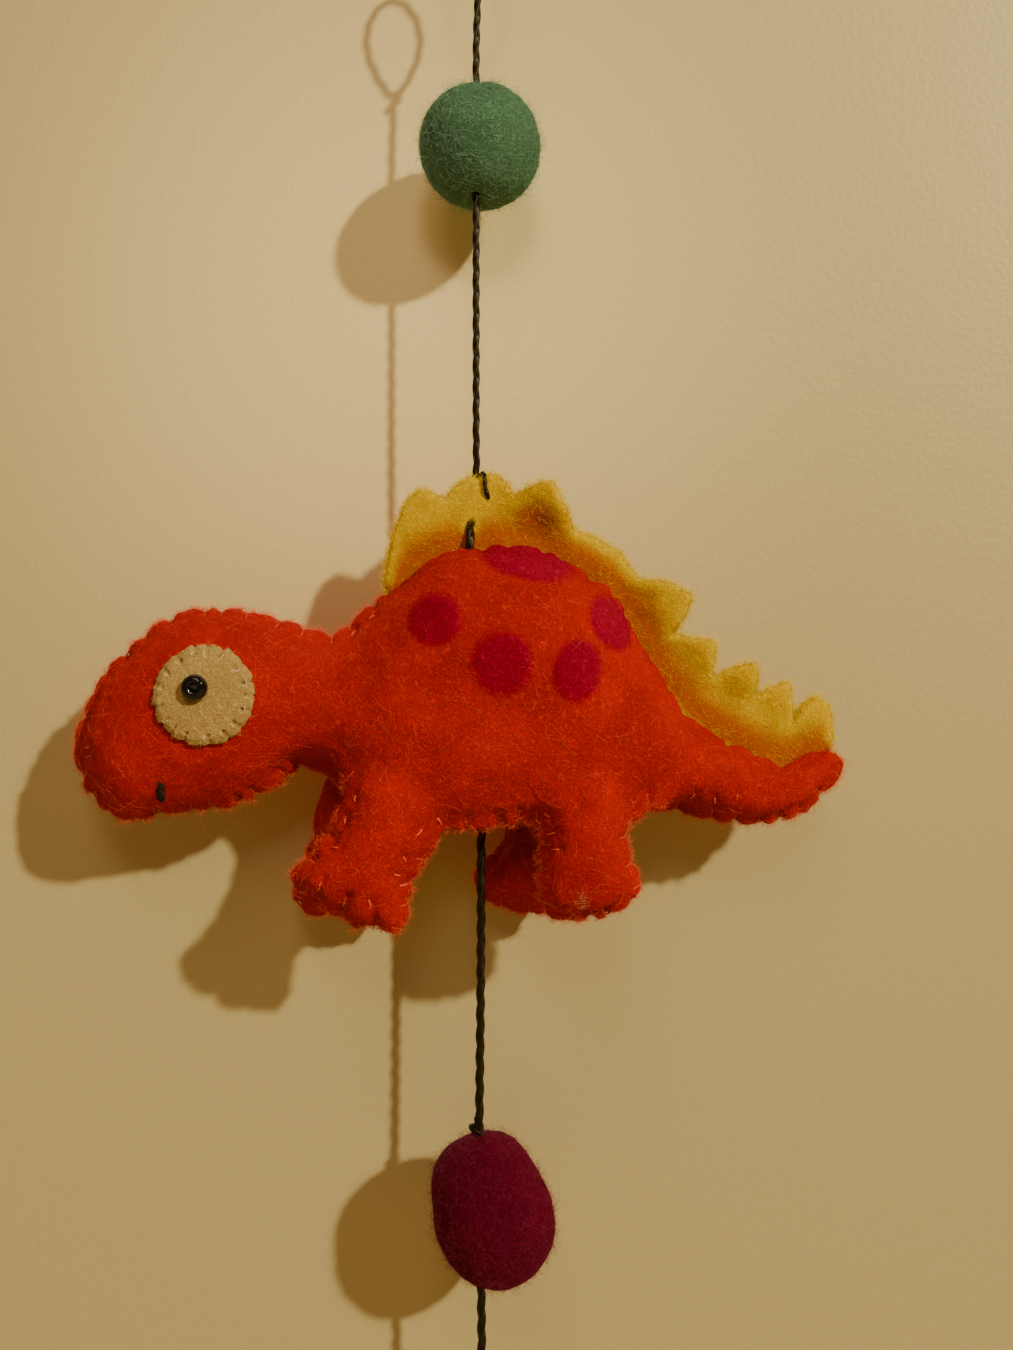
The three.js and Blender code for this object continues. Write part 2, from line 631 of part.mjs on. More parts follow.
function balls() {
  const group = new THREE.Group();
  const green = boredBall(GREEN, GREEN_Z, CORD_TOP_PATH);
  const plum = boredBall(PLUM, PLUM_Z, CORD_TAIL_PATH);
  place(group, "ball_green", green, COLOURS.green, 0.95, GREEN.x, GREEN.y, GREEN_Z);
  place(group, "ball_plum", plum, COLOURS.plum, 0.95, PLUM.x, PLUM.y, PLUM_Z);
  return group;
}

function cords() {
  const group = new THREE.Group();
  const cord = (name, path) =>
    place(group, name, tubeGeometry(path, CORD_RADIUS, CORD_SIDES), COLOURS.cord, 0.6);
  cord("hanging_loop", loopPath());
  cord("cord_top", CORD_TOP_PATH);
  cord("cord_body", CORD_BODY_PATH);
  cord("cord_tail", CORD_TAIL_PATH);
  const stitch = tubeGeometry(STITCH_PATH, PLY_RADIUS, CORD_SIDES, STITCH_STEPS);
  place(group, "crest_stitch", stitch, COLOURS.cord, 0.6);
  place(group, "knot_loop", knotGeometry(), COLOURS.cord, 0.6, 0, 0, LOOP_KNOT_Z);
  place(group, "knot_plum", knotGeometry(), COLOURS.cord, 0.6, 0.2, 0, PLUM_KNOT_Z);
  place(group, "knot_end", knotGeometry(), COLOURS.cord, 0.6, 0.6, 0, END_KNOT_Z);
  return group;
}

const mobile = new THREE.Group();
mobile.add(dinosaur(), balls(), cords());
export default mobile;
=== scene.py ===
# %% [markdown]
# # A hanging felt mobile
# The real thing is a small stuffed dinosaur of orange felt that hangs on a waxed cord
# between two felted balls. This lesson dresses its plain solids in Blender. The packed
# model comes first, because every new piece has to sit where its solid sits.

# %% Load the solids
import math
import bpy
import numpy as np
from mathutils import Matrix, Vector
from mathutils.bvhtree import BVHTree
from mathutils.kdtree import KDTree


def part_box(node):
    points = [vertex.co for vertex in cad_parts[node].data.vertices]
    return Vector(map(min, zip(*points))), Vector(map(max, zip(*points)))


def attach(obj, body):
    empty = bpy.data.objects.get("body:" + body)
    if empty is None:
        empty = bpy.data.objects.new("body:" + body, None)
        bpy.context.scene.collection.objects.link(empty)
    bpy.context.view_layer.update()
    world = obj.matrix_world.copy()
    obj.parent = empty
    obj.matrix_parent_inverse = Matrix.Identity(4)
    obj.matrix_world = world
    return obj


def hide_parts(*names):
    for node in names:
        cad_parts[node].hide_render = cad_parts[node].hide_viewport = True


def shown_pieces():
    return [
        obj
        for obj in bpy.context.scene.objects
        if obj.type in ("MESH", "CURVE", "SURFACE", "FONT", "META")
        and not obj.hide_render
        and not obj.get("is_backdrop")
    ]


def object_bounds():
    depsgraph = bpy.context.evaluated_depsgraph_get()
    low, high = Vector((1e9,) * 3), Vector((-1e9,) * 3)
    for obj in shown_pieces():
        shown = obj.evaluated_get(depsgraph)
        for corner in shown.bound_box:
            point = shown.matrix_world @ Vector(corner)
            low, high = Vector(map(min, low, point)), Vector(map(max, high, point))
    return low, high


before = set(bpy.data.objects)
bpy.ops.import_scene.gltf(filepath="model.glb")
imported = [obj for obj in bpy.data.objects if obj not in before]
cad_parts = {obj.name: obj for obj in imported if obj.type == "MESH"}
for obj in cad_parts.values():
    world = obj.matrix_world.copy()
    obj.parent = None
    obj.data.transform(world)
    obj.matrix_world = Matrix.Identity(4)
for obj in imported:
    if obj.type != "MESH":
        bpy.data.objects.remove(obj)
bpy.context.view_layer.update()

MM = 0.001

# %% [markdown]
# ## The camera
# The green ball shows as a slightly tall oval although it is round, so the camera stood
# close: 22 cm in front of the cord, level, a little above the dinosaur's belly. A camera
# is added at that place and its lens follows from the height of the picture at the cord.

# %% Camera
CAMERA_PLACE = Vector((0.00456, -0.220, -0.128))
PICTURE_HEIGHT = 0.216
SENSOR = 36.0

bpy.ops.object.camera_add(location=CAMERA_PLACE, rotation=(math.radians(90), 0, 0))
camera = bpy.context.object
camera.name = "camera"
camera.data.sensor_fit = "VERTICAL"
camera.data.sensor_height = SENSOR
camera.data.lens = SENSOR * -CAMERA_PLACE.y / PICTURE_HEIGHT
camera.data.clip_start = 0.005
bpy.context.scene.camera = camera
print("lens in mm:", round(camera.data.lens, 2))

# %% [markdown]
# ## Small helpers
# Operators act on what is selected, so each step first picks one object alone. An even
# ramp between two values is needed nearly everywhere, because nothing in felt or cord
# starts or ends sharply.

# %% Picking, editing and an even ramp
def pick(*chosen):
    """Selects these objects alone, the first one active."""
    if bpy.context.object and bpy.context.object.mode != "OBJECT":
        bpy.ops.object.mode_set(mode="OBJECT")
    bpy.ops.object.select_all(action="DESELECT")
    for piece in chosen:
        piece.select_set(True)
    bpy.context.view_layer.objects.active = chosen[0]
    return chosen[0]


def edit(piece, operator, **settings):
    """Runs one edit-mode operator on all the points of a piece."""
    pick(piece)
    bpy.ops.object.mode_set(mode="EDIT")
    bpy.ops.mesh.select_all(action="SELECT")
    operator(**settings)
    bpy.ops.object.mode_set(mode="OBJECT")


def new_object(name, data):
    made = bpy.data.objects.new(name, data)
    bpy.context.collection.objects.link(made)
    return made


def shade_smooth(piece):
    pick(piece)
    bpy.ops.object.shade_smooth()


def triangles_of(piece):
    return sum(len(face.vertices) - 2 for face in piece.data.polygons)


def smoothstep(low, high, value):
    """0 below low, 1 above high, an even ramp between them."""
    share = np.clip((value - low) / (high - low), 0, 1)
    return share * share * (3 - 2 * share)


print("the ramp at a quarter of its way:", round(float(smoothstep(0, 1, 0.25)), 3))

# %% [markdown]
# ## The waxed cord
# The mobile is strung on twisted waxed cord, 1 mm thick. It could be a plain bevelled
# curve, but then the light would show no twist. Here a curve follows the route, its
# cross-section has one lobe for each ply, and its tilt turns one full round every
# centimetre, so the plies wind along it.

# %% A smooth route through a few points
FINE_STEPS = 60


def route_through(rows, step):
    """Points a step apart on a smooth curve through the rows, given in mm."""
    knots = np.array(rows, float) * MM
    before = 2 * knots[0] - knots[1]
    after = 2 * knots[-1] - knots[-2]
    knots = np.vstack([before, knots, after])
    fine = []
    for a, b, c, d in zip(knots, knots[1:], knots[2:], knots[3:]):
        for share in np.linspace(0, 1, FINE_STEPS, endpoint=False):
            bend = 2 * b + (c - a) * share + (2 * a - 5 * b + 4 * c - d) * share**2
            fine.append((bend + (3 * b - a - 3 * c + d) * share**3) / 2)
    fine = np.array([*fine, knots[-2]])
    along = np.concatenate([[0], np.cumsum(np.linalg.norm(np.diff(fine, axis=0), axis=1))])
    count = max(int(round(along[-1] / step)), 4)
    places = np.linspace(0, along[-1], count + 1)
    return np.column_stack([np.interp(places, along, fine[:, i]) for i in range(3)])


def length_of(route):
    return float(np.linalg.norm(np.diff(route, axis=0), axis=1).sum())


straight = route_through([(0, 0, 0), (0, 0, 10)], MM)
print("a straight route in mm:", round(length_of(straight) / MM, 2))

# %% A twisted cord along a route
LAY = 10.2 * MM
CORD_RADIUS = 0.52 * MM
LOWER_RADIUS = 0.63 * MM
PLIES = 3
LOBE_SHARE = 0.19


def ply_profile(name, radius, plies, around=18):
    """A closed flat curve with one lobe for each ply."""
    curve = bpy.data.curves.new(name, "CURVE")
    spline = curve.splines.new("POLY")
    spline.points.add(around - 1)
    for i, point in enumerate(spline.points):
        turn = 2 * math.pi * i / around
        reach = radius * (1.0 + LOBE_SHARE * math.cos(plies * turn))
        point.co = (reach * math.cos(turn), reach * math.sin(turn), 0, 1)
    spline.use_cyclic_u = True
    return new_object(name, curve)


def twist_cord(name, route, radius=CORD_RADIUS, lay=LAY, plies=PLIES):
    """A mesh tube of twisted plies that follows the route, one round for each lay."""
    profile = ply_profile(name + "_profile", radius, plies)
    curve = bpy.data.curves.new(name, "CURVE")
    curve.dimensions = "3D"
    curve.bevel_mode = "OBJECT"
    curve.bevel_object = profile
    curve.use_fill_caps = True
    spline = curve.splines.new("POLY")
    spline.points.add(len(route) - 1)
    along = 0.0
    for i, point in enumerate(spline.points):
        if i:
            along += float(np.linalg.norm(route[i] - route[i - 1]))
        point.co = (*route[i], 1)
        point.tilt = 2 * math.pi * along / lay
    cord = pick(new_object(name, curve))
    bpy.ops.object.convert(target="MESH")
    edit(cord, bpy.ops.mesh.remove_doubles, threshold=1e-7)
    edit(cord, bpy.ops.mesh.normals_make_consistent, inside=False)
    shade_smooth(cord)
    bpy.data.objects.remove(profile)
    return cord


print("plies:", PLIES, "one round in mm:", round(LAY / MM, 1))

# %% The two runs of cord
UPPER_RUN = [
    (-0.8, 2.2, -99.85), (-0.6, 2.1, -97.6), (-0.3, 0.8, -94.5), (-0.3, 0.0, -88.0),
    (-0.3, 0.0, -60.0), (-0.3, 0.0, -30.0), (0.0, 0.0, -19.05),
]
LOWER_RUN = [
    (-0.8, 2.2, -100.15), (-1.0, 1.7, -101.9), (-1.1, 0.0, -103.3), (-1.2, -1.7, -104.8),
    (-1.2, -2.3, -106.8), (-1.2, -2.2, -108.6), (-1.0, -1.2, -112.0), (-0.4, -0.2, -120.0),
    (0.4, 0.0, -140.0), (0.5, 0.0, -160.0), (0.4, 0.0, -180.0), (0.2, 0.0, -198.65),
    (0.2, 0.0, -201.55), (0.5, 0.0, -226.0), (0.6, 0.0, -240.15),
]
CORD_STEP = 0.35 * MM

upper_route = route_through(UPPER_RUN, CORD_STEP)
lower_route = route_through(LOWER_RUN, CORD_STEP)
cord_upper = twist_cord("cord_upper", upper_route)
cord_lower = twist_cord("cord_lower", lower_route, LOWER_RADIUS)
print("upper cord in mm:", round(length_of(upper_route) / MM, 1))
print("lower cord in mm:", round(length_of(lower_route) / MM, 1))

# %% [markdown]
# ## Knots and the hanging loop
# Each knot is a plain overhand knot, which is the simplest knotted line there is. Its
# route comes from one short formula, scaled until the turns lie on each other, so the
# three knots are tied alike and only stand in other places.

# %% Overhand knots
KNOT_WIDE = 0.44
KNOT_DEEP = 0.25
KNOT_TALL = 0.078
KNOT_TURN = 2.02
KNOT_END = 2.3
KNOT_RADIUS = 0.46 * MM


def knot_route(centre, turn_z=0.0):
    """The route of an overhand knot whose ends run up and down, centre given in mm."""
    rows = []
    for t in np.linspace(-KNOT_TURN, KNOT_TURN, 34):
        x = (t**3 - 3 * t) * KNOT_WIDE * (1 - smoothstep(1.55, KNOT_TURN, abs(t)))
        y = (t**4 - 4 * t**2 + 2) * KNOT_DEEP * (1 - smoothstep(1.75, KNOT_TURN, abs(t)))
        z = (t**5 - 10 * t) * KNOT_TALL
        rows.append((x, y, z))
    rows = [(0, 0, -KNOT_END), *rows, (0, 0, KNOT_END)]
    turned = np.array(rows) @ np.array(Matrix.Rotation(turn_z, 3, "Z").transposed())
    return route_through(turned + np.array(centre), 0.2 * MM)


LOOP_KNOT = (0.0, 0.0, -17.6)
PLUM_KNOT = (-0.1, 0.0, -201.0)
END_KNOT = (0.6, 0.0, -241.6)

knot_loop = twist_cord("knot_loop_tied", knot_route(LOOP_KNOT, 0.4), KNOT_RADIUS)
knot_plum = twist_cord("knot_plum_tied", knot_route(PLUM_KNOT, math.pi), KNOT_RADIUS)
knot_end = twist_cord("knot_end_tied", knot_route(END_KNOT, 1.1), KNOT_RADIUS)
print("knot triangles:", triangles_of(knot_plum))

# %% Hanging loop and the strand sewn over the crest
LOOP_HALF = [
    (-0.6, 0.0, -16.15), (-2.6, 0.05, -13.2), (-4.1, 0.0, -9.69), (-4.6, 0.0, -6.4),
    (-4.0, 0.0, -3.2), (-2.3, 0.0, -0.6),
]
LOOP_TOP = (0.0, 0.0, 0.4)
CREST_STRAND_RUN = [
    (-0.3, 1.6, -96.8), (0.2, 1.0, -95.9), (0.8, -0.4, -95.8), (1.1, -1.6, -96.6),
    (1.2, -2.0, -98.2), (1.5, -2.0, -99.3), (1.7, -1.5, -99.9),
]
other_half = [(-x, -y, z) for x, y, z in reversed(LOOP_HALF)]
loop_route = route_through([*LOOP_HALF, LOOP_TOP, *other_half], CORD_STEP)
hanging_loop = twist_cord("hanging_loop_cord", loop_route)
crest_strand = twist_cord(
    "crest_strand", route_through(CREST_STRAND_RUN, 0.2 * MM), 0.33 * MM, 3.4 * MM, plies=2
)
print("loop length in mm:", round(length_of(loop_route) / MM, 1))

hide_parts("cord_top")
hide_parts("cord_body", "cord_tail")
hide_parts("knot_loop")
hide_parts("knot_plum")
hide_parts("knot_end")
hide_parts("hanging_loop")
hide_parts("crest_stitch")
cords = [cord_upper, cord_lower, knot_loop, knot_plum, knot_end, hanging_loop, crest_strand]
for piece in cords:
    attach(piece, "root")
print("cord pieces:", len(cords))

# %% [markdown]
# ## The stuffed body
# Two side panels and an underbody piece are sewn together and filled, so the real body is
# one plump closed form. Its three solids are copied, grown a little until they meet, and
# remeshed into one skin of even squares. A cloth simulation with air pressure inside
# then fills it as the stuffing does, and the skin is smoothed where the legs join. Felt
# also needs its points moved by rule. For that they are read into one array, changed
# together, and put back.

# %% Copying solids, reading and moving points
def modify(piece, kind, **settings):
    """Adds one modifier to a piece, sets it and applies it."""
    pick(piece)
    modifier = piece.modifiers.new(kind, kind)
    for setting, value in settings.items():
        setattr(modifier, setting, value)
    bpy.ops.object.modifier_apply(modifier=modifier.name)


def points_of(piece):
    values = np.empty(len(piece.data.vertices) * 3)
    piece.data.vertices.foreach_get("co", values)
    return values.reshape(-1, 3)


def put_points(piece, points):
    piece.data.vertices.foreach_set("co", points.astype(np.float32).ravel())
    piece.data.update()


def normals_of(piece):
    values = np.empty(len(piece.data.vertices) * 3)
    piece.data.vertex_normals.foreach_get("vector", values)
    return values.reshape(-1, 3)


def copy_of(name, *node_names):
    """One new mesh with the merged faces of these solids."""
    copies = []
    for node_name in node_names:
        copy = new_object(name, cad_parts[node_name].data.copy())
        copy.data.materials.clear()
        copies.append(copy)
    pick(*copies)
    if len(copies) > 1:
        bpy.ops.object.join()
    piece = bpy.context.object
    edit(piece, bpy.ops.mesh.remove_doubles, threshold=1e-6)
    return piece


def grow(piece, distance):
    """Moves every face of a piece outwards by a distance, inwards if it is negative."""
    put_points(piece, points_of(piece) + normals_of(piece) * distance)


def remesh(piece, voxel):
    pick(piece)
    piece.data.remesh_voxel_size = voxel
    piece.data.use_remesh_fix_poles = True
    bpy.ops.object.voxel_remesh()


def soften(piece, factor, rounds, **where):
    modify(piece, "SMOOTH", factor=factor, iterations=rounds, **where)


print("points of the crest's solid:", len(points_of(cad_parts["crest"])))

# %% One skin from three solids
BODY_MIDDLE = -130.4
SKIN_GAP = 0.22 * MM
COARSE_VOXEL = 1.5 * MM
FINE_VOXEL = 0.52 * MM

body = copy_of("stuffed_body", "side_panel_near", "side_panel_far", "belly_gusset")
grow(body, SKIN_GAP)
remesh(body, COARSE_VOXEL)
grow(body, -SKIN_GAP)
print("skin triangles:", triangles_of(body))

# %% Fill it with air pressure
CLOTH_SCALE = 10.0
CLOTH_FRAMES = 12
PRESSURE = 120.0
MOST_SWELL = 0.8
SEAM_FACING = 0.5


def fill_with_air(piece):
    """Cloth with air inside, ten times as large, where the solver is steady. Seams stay."""
    start = points_of(piece)
    held = piece.vertex_groups.new(name="held")
    rim = np.nonzero(np.abs(normals_of(piece)[:, 1]) < SEAM_FACING)[0]
    held.add([int(i) for i in rim], 1.0, "REPLACE")
    put_points(piece, start * CLOTH_SCALE)
    pick(piece)
    cloth = piece.modifiers.new("air", "CLOTH")
    cloth.settings.quality = 6
    cloth.settings.use_pressure = True
    cloth.settings.uniform_pressure_force = PRESSURE
    cloth.settings.effector_weights.gravity = 0
    cloth.settings.vertex_group_mass = "held"
    cloth.point_cache.frame_start = 1
    cloth.point_cache.frame_end = CLOTH_FRAMES
    for number in range(1, CLOTH_FRAMES + 1):
        bpy.context.scene.frame_set(number)
    filled = piece.evaluated_get(bpy.context.evaluated_depsgraph_get())
    values = np.empty(len(filled.data.vertices) * 3)
    filled.data.vertices.foreach_get("co", values)
    move = values.reshape(-1, 3) / CLOTH_SCALE - start
    far = np.maximum(np.linalg.norm(move, axis=1), 1e-9)
    move *= np.minimum(1, MOST_SWELL * MM / far)[:, None]
    piece.modifiers.remove(cloth)
    piece.vertex_groups.clear()
    put_points(piece, start + move)
    bpy.context.scene.frame_set(1)
    return float(np.minimum(far, MOST_SWELL * MM).mean() / MM)


print("mean swell in mm:", round(fill_with_air(body), 2))
soften(body, 0.5, 1)
remesh(body, FINE_VOXEL)
soften(body, 0.5, 4)
print("filled skin triangles:", triangles_of(body))

# %% Smooth the hips, where leg and side are one piece of felt
# Each row: where the hip lies on the body and how far it reaches, in mm.
HIPS = [
    (-14.0, -10.0, -17.5, 9.5), (16.7, -10.0, -17.0, 9.0), (-19.4, 10.0, -18.5, 9.0),
    (14.0, 10.0, -18.5, 9.0),
]
HIP_FADE = 3.5
HIP_LEVELS = 10


def soften_hips(piece, rounds):
    points = points_of(piece)
    weight = np.zeros(len(points))
    for x, y, z, reach in HIPS:
        middle = np.array((x, y, z + BODY_MIDDLE)) * MM
        far = np.linalg.norm((points - middle) * np.array((1, 0.8, 1.25)), axis=1) / MM
        weight = np.maximum(weight, 1 - smoothstep(reach - HIP_FADE, reach, far))
    group = piece.vertex_groups.new(name="hips")
    for level in range(1, HIP_LEVELS + 1):
        chosen = np.nonzero(np.ceil(weight * HIP_LEVELS) == level)[0]
        group.add([int(i) for i in chosen], level / HIP_LEVELS, "REPLACE")
    soften(piece, 0.5, rounds, vertex_group="hips")
    piece.vertex_groups.clear()
    return int((weight > 0).sum())


print("hip points:", soften_hips(body, 60))

# %% Fuller places
# Each row: x and height on the body, reach, push to the right and up in mm, and the side:
# -1 for the near half alone, 1 for the far half, 0 for both.
FULLER = [
    (54.2, -10.4, 3.6, 0.1, 1.4, 0), (57.0, -14.0, 2.8, 0.7, 0.0, 0),
    (24.0, 14.5, 7.0, 0.6, 0.5, 0), (-17.0, 13.0, 6.0, -0.6, 0.8, 0),
    (30.0, 4.0, 4.0, 0.4, 0.4, 0), (-6.0, 22.0, 5.0, -0.2, 0.5, 0),
    (58.3, -10.3, 1.7, -0.7, -0.5, 0), (2.0, -25.6, 3.4, 2.1, 0.0, 1),
    (-27.0, -28.7, 2.2, -0.9, 0.3, -1), (-26.0, -32.4, 1.9, 0.4, 1.0, -1),
    (-18.4, -34.8, 2.0, 0.0, -0.5, -1), (-12.6, -35.4, 1.8, 0.3, -0.3, -1),
    (-46.0, 12.6, 6.0, 0.0, 0.35, 0), (-63.8, -8.5, 4.5, -0.45, 0.0, 0),
]


def bell(value, reach):
    """1 where the value is 0, falling off to both sides within the reach."""
    return np.exp(-((value / reach) ** 2))


def from_place(points, x, z):
    """How far right of a place on the body and how far above it the points are, in mm."""
    return points[:, 0] / MM - x, points[:, 2] / MM - BODY_MIDDLE - z


def make_fuller(piece):
    points = points_of(piece)
    start = points.copy()
    for x, z, reach, right, up, half in FULLER:
        share = bell(np.hypot(*from_place(start, x, z)), reach) * MM
        if half:
            share *= smoothstep(0.0, 3.0, start[:, 1] / MM * half)
        points[:, 0] += right * share
        points[:, 2] += up * share
    put_points(piece, points)
    return round(float(np.linalg.norm(points - start, axis=1).max() / MM), 2)


print("furthest push in mm:", make_fuller(body))

# %% [markdown]
# ## Seams
# The felt is joined by overcast stitches right over its cut edges. Every stitch pinches
# the edge, and the felt swells between two stitches, so the outline is a row of small
# lobes about 4 mm wide. The seam lines are drawn from the same sizes as the solids, and
# every point of the skin near a line is then moved by its place along it.

# %% Seam lines of the body and the legs
# Each row: x and height in mm, from the middle of the body or from the top of the leg.
BACK_EDGE = [
    (-64.4, -10.7), (-63.7, -5.8), (-62.4, -1.9), (-60.5, 1.6), (-58.1, 5.1), (-54.9, 8.0),
    (-50.9, 11.0), (-46.1, 12.6), (-42.1, 13.3), (-38.1, 13.1), (-34.6, 12.5), (-30.9, 11.2),
    (-27.7, 10.1), (-24.5, 9.1), (-21.3, 9.6), (-18.1, 11.8), (-14.9, 15.0), (-10.9, 18.9),
    (-6.1, 22.2), (-0.5, 23.4), (5.1, 23.8), (10.7, 23.0), (15.5, 20.6), (20.3, 17.1),
    (24.3, 12.8), (27.5, 6.1), (30.7, 1.1), (33.9, -2.9), (37.9, -5.9), (41.9, -8.2),
    (45.9, -10.2), (49.1, -10.9), (52.0, -10.4), (54.4, -9.6), (56.3, -9.4), (57.8, -10.4),
    (58.5, -11.8),
]
TAIL_UNDER = [
    (58.5, -11.8), (57.8, -13.4), (56.3, -15.5), (54.4, -18.1), (52.0, -20.0), (49.1, -21.0),
    (45.9, -21.6), (41.9, -21.6), (37.9, -21.0), (33.9, -20.2), (31.0, -19.7),
]
CHIN_UNDER = [
    (-64.4, -10.7), (-63.7, -14.4), (-62.4, -16.5), (-60.5, -18.6), (-58.1, -20.2),
    (-54.9, -21.1), (-50.9, -20.3), (-46.1, -19.7), (-42.1, -19.5), (-38.1, -18.6),
    (-34.6, -16.8), (-30.9, -14.4), (-27.7, -12.6), (-24.5, -13.4),
]
BELLY_EDGE = [
    (-20.0, -16.0), (-14.9, -20.2), (-10.9, -21.3), (-6.1, -21.8), (-0.5, -21.8),
    (5.1, -21.1), (10.7, -20.5), (15.5, -20.3), (20.3, -20.3), (24.3, -20.2), (28.5, -19.9),
]
FRONT_FOOT = [
    (-8.1, -6.9), (-8.6, -9.2), (-9.2, -11.5), (-10.1, -13.7), (-10.8, -16.0),
    (-11.5, -18.3), (-10.8, -20.0), (-8.6, -21.1), (-6.3, -21.8), (-2.7, -21.1),
    (-0.9, -22.3), (1.4, -22.3), (2.9, -20.9), (4.6, -21.7), (6.6, -21.5), (7.6, -20.0),
    (7.6, -18.3), (7.6, -16.0), (6.9, -13.7), (6.7, -11.5), (7.3, -9.2), (7.8, -6.9),
]
HIND_FOOT = [
    (-7.4, -5.8), (-7.3, -8.4), (-7.6, -11.5), (-7.6, -14.0), (-7.5, -16.0), (-7.2, -17.7),
    (-6.1, -19.7), (-3.1, -20.2), (-1.1, -20.5), (0.6, -19.7), (2.7, -20.0), (4.3, -19.1),
    (5.8, -18.2), (7.6, -17.7), (8.6, -16.0), (8.9, -14.0), (7.8, -11.5), (6.7, -8.4),
    (6.4, -5.8),
]
# Each leg: its outline, where it hangs on the body in mm and its lean in degrees.
LEGS = [
    (FRONT_FOOT, -11.7, -10.0, -15.2, 19.3),
    (HIND_FOOT, 16.7, -10.0, -15.2, 0.0),
    (FRONT_FOOT, -19.4, 10.0, -17.0, 4.0),
    (HIND_FOOT, 12.8, 10.0, -18.6, 25.0),
]


SEAM_STEP = 0.25


def turned(right, up, slope):
    """Two lengths measured again, along a line of this slope and across it."""
    turn = math.radians(slope)
    along = right * math.cos(turn) + up * math.sin(turn)
    return along, -right * math.sin(turn) + up * math.cos(turn)


def flat_seam(rows, y=0.0):
    """A seam line in an upright plane, rows of (x, z) in the body's own millimetres."""
    return route_through([(x, y, z + BODY_MIDDLE) for x, z in rows], SEAM_STEP * MM)


def leg_seam(rows, x, y, z, lean):
    placed = [turned(px, pz, lean) for px, pz in rows]
    return flat_seam([(x + px, z + pz) for px, pz in placed], y)


def unit(vectors):
    """The same directions, each with length 1."""
    return vectors / np.linalg.norm(vectors, axis=-1, keepdims=True)


def outward_of(route, inside):
    """The direction across a seam line that points away from the inside."""
    tangent = unit(np.gradient(route, axis=0))
    away = unit(np.cross(tangent, (0, 1, 0)))
    flip = np.sign(((route - inside) * away).sum(axis=1).mean())
    return tangent, away * flip


BELLY_SEAM_Y = 7.8
BELLY_RISE = 1.9
BELLY_FLARE = 0.5

body_inside = np.array((0.0, 0.0, BODY_MIDDLE)) * MM
seams = []
for name, rows, y, rise in (
    ("back", BACK_EDGE, 0.0, 0.0),
    ("tail", TAIL_UNDER, 0.0, 0.0),
    ("chin", CHIN_UNDER, 0.0, 0.0),
    ("belly_near", BELLY_EDGE, -BELLY_SEAM_Y, BELLY_RISE),
    ("belly_far", BELLY_EDGE, BELLY_SEAM_Y, BELLY_RISE),
):
    route = flat_seam([(px, pz + rise) for px, pz in rows], y)
    tangent, away = outward_of(route, body_inside + np.array((0, y, 5)) * MM)
    if y:
        away = unit(away + np.array((0, math.copysign(BELLY_FLARE, y), 0)))
    seams.append((name, route, tangent, away))
for number, leg in enumerate(LEGS):
    route = leg_seam(*leg)
    middle = np.array((leg[1], leg[2], leg[3] - 10 + BODY_MIDDLE)) * MM
    tangent, away = outward_of(route, middle)
    seams.append((f"leg_{number + 1}", route, tangent, away))
print("seam lengths in mm:", {name: round(length_of(route) / MM) for name, route, *_ in seams})

# %% [markdown]
# Stitches are never perfectly even. Each seam gets its own row of stitch places about
# 4 mm apart with a small random error, drawn from a fixed seed so that the result is the
# same each time.

# %% Stitch places
STITCH_PITCH = {"back": 4.3, "chin": 4.3, "tail": 3.8, "belly_near": 3.6, "belly_far": 3.6}
LEG_PITCH = 3.5
UNEVEN = 0.22
LOBE_SIZES = (0.3, 1.45)
sewing = np.random.default_rng(7)
stitches = []
lobe_sizes = []
for name, route, tangent, away in seams:
    count = max(int(length_of(route) / (STITCH_PITCH.get(name, LEG_PITCH) * MM)), 2)
    places = (np.arange(count) + 0.5) / count * (len(route) - 1)
    places += sewing.normal(0, UNEVEN, count) * (len(route) - 1) / count
    places = np.clip(np.round(places).astype(int), 0, len(route) - 1)
    stitches.append(places)
    lobe_sizes.append(sewing.uniform(*LOBE_SIZES, count))
print("stitches:", sum(len(places) for places in stitches))

# %% Lobes along the seams
# How far a lobe stands out and a stitch pulls in, how deep each hollow is, how far in
# from the edge the sewn flange goes and how far the felt feels it, all in mm.
LOBE_OUT = 0.23
LOBE_IN = 0.26
STITCH_DENT = 0.50
STITCH_GROOVE = 0.36
FLANGE_VALLEY = 0.10
FLANGE = 3.1
SEAM_REACH = 4.4
BELLY_RIDGE = 1.5
SQUEEZE = 0.26
# How far each of these reaches, in mm: the pinch of a stitch along the seam, the ridge
# over a belly seam, a dent and a groove along the seam, and all three hollows across it.
PINCH_REACH = 0.8
RIDGE_REACH = 2.3
DENT_REACH = 0.65
GROOVE_REACH = 0.55
DENT_ACROSS = 0.6
VALLEY_ACROSS = 0.9
GROOVE_ACROSS = 0.6
# The edge of the flange starts to fade here. At the tip of the tail all lobes die away.
EDGE_BEGIN = 0.4
TIP_FADE = (1.5, 5.0)
TAIL_TIP = np.array((58.0, 0.0, -11.8 + BODY_MIDDLE))


def tree_of(places):
    """A search tree that finds the nearest of these places."""
    tree = KDTree(len(places))
    for number, place in enumerate(places):
        tree.insert(place, number)
    tree.balance()
    return tree


seam_places = [(number, i) for number, seam in enumerate(seams) for i in range(len(seam[1]))]
seam_tree = tree_of([point for _, route, *_ in seams for point in route])


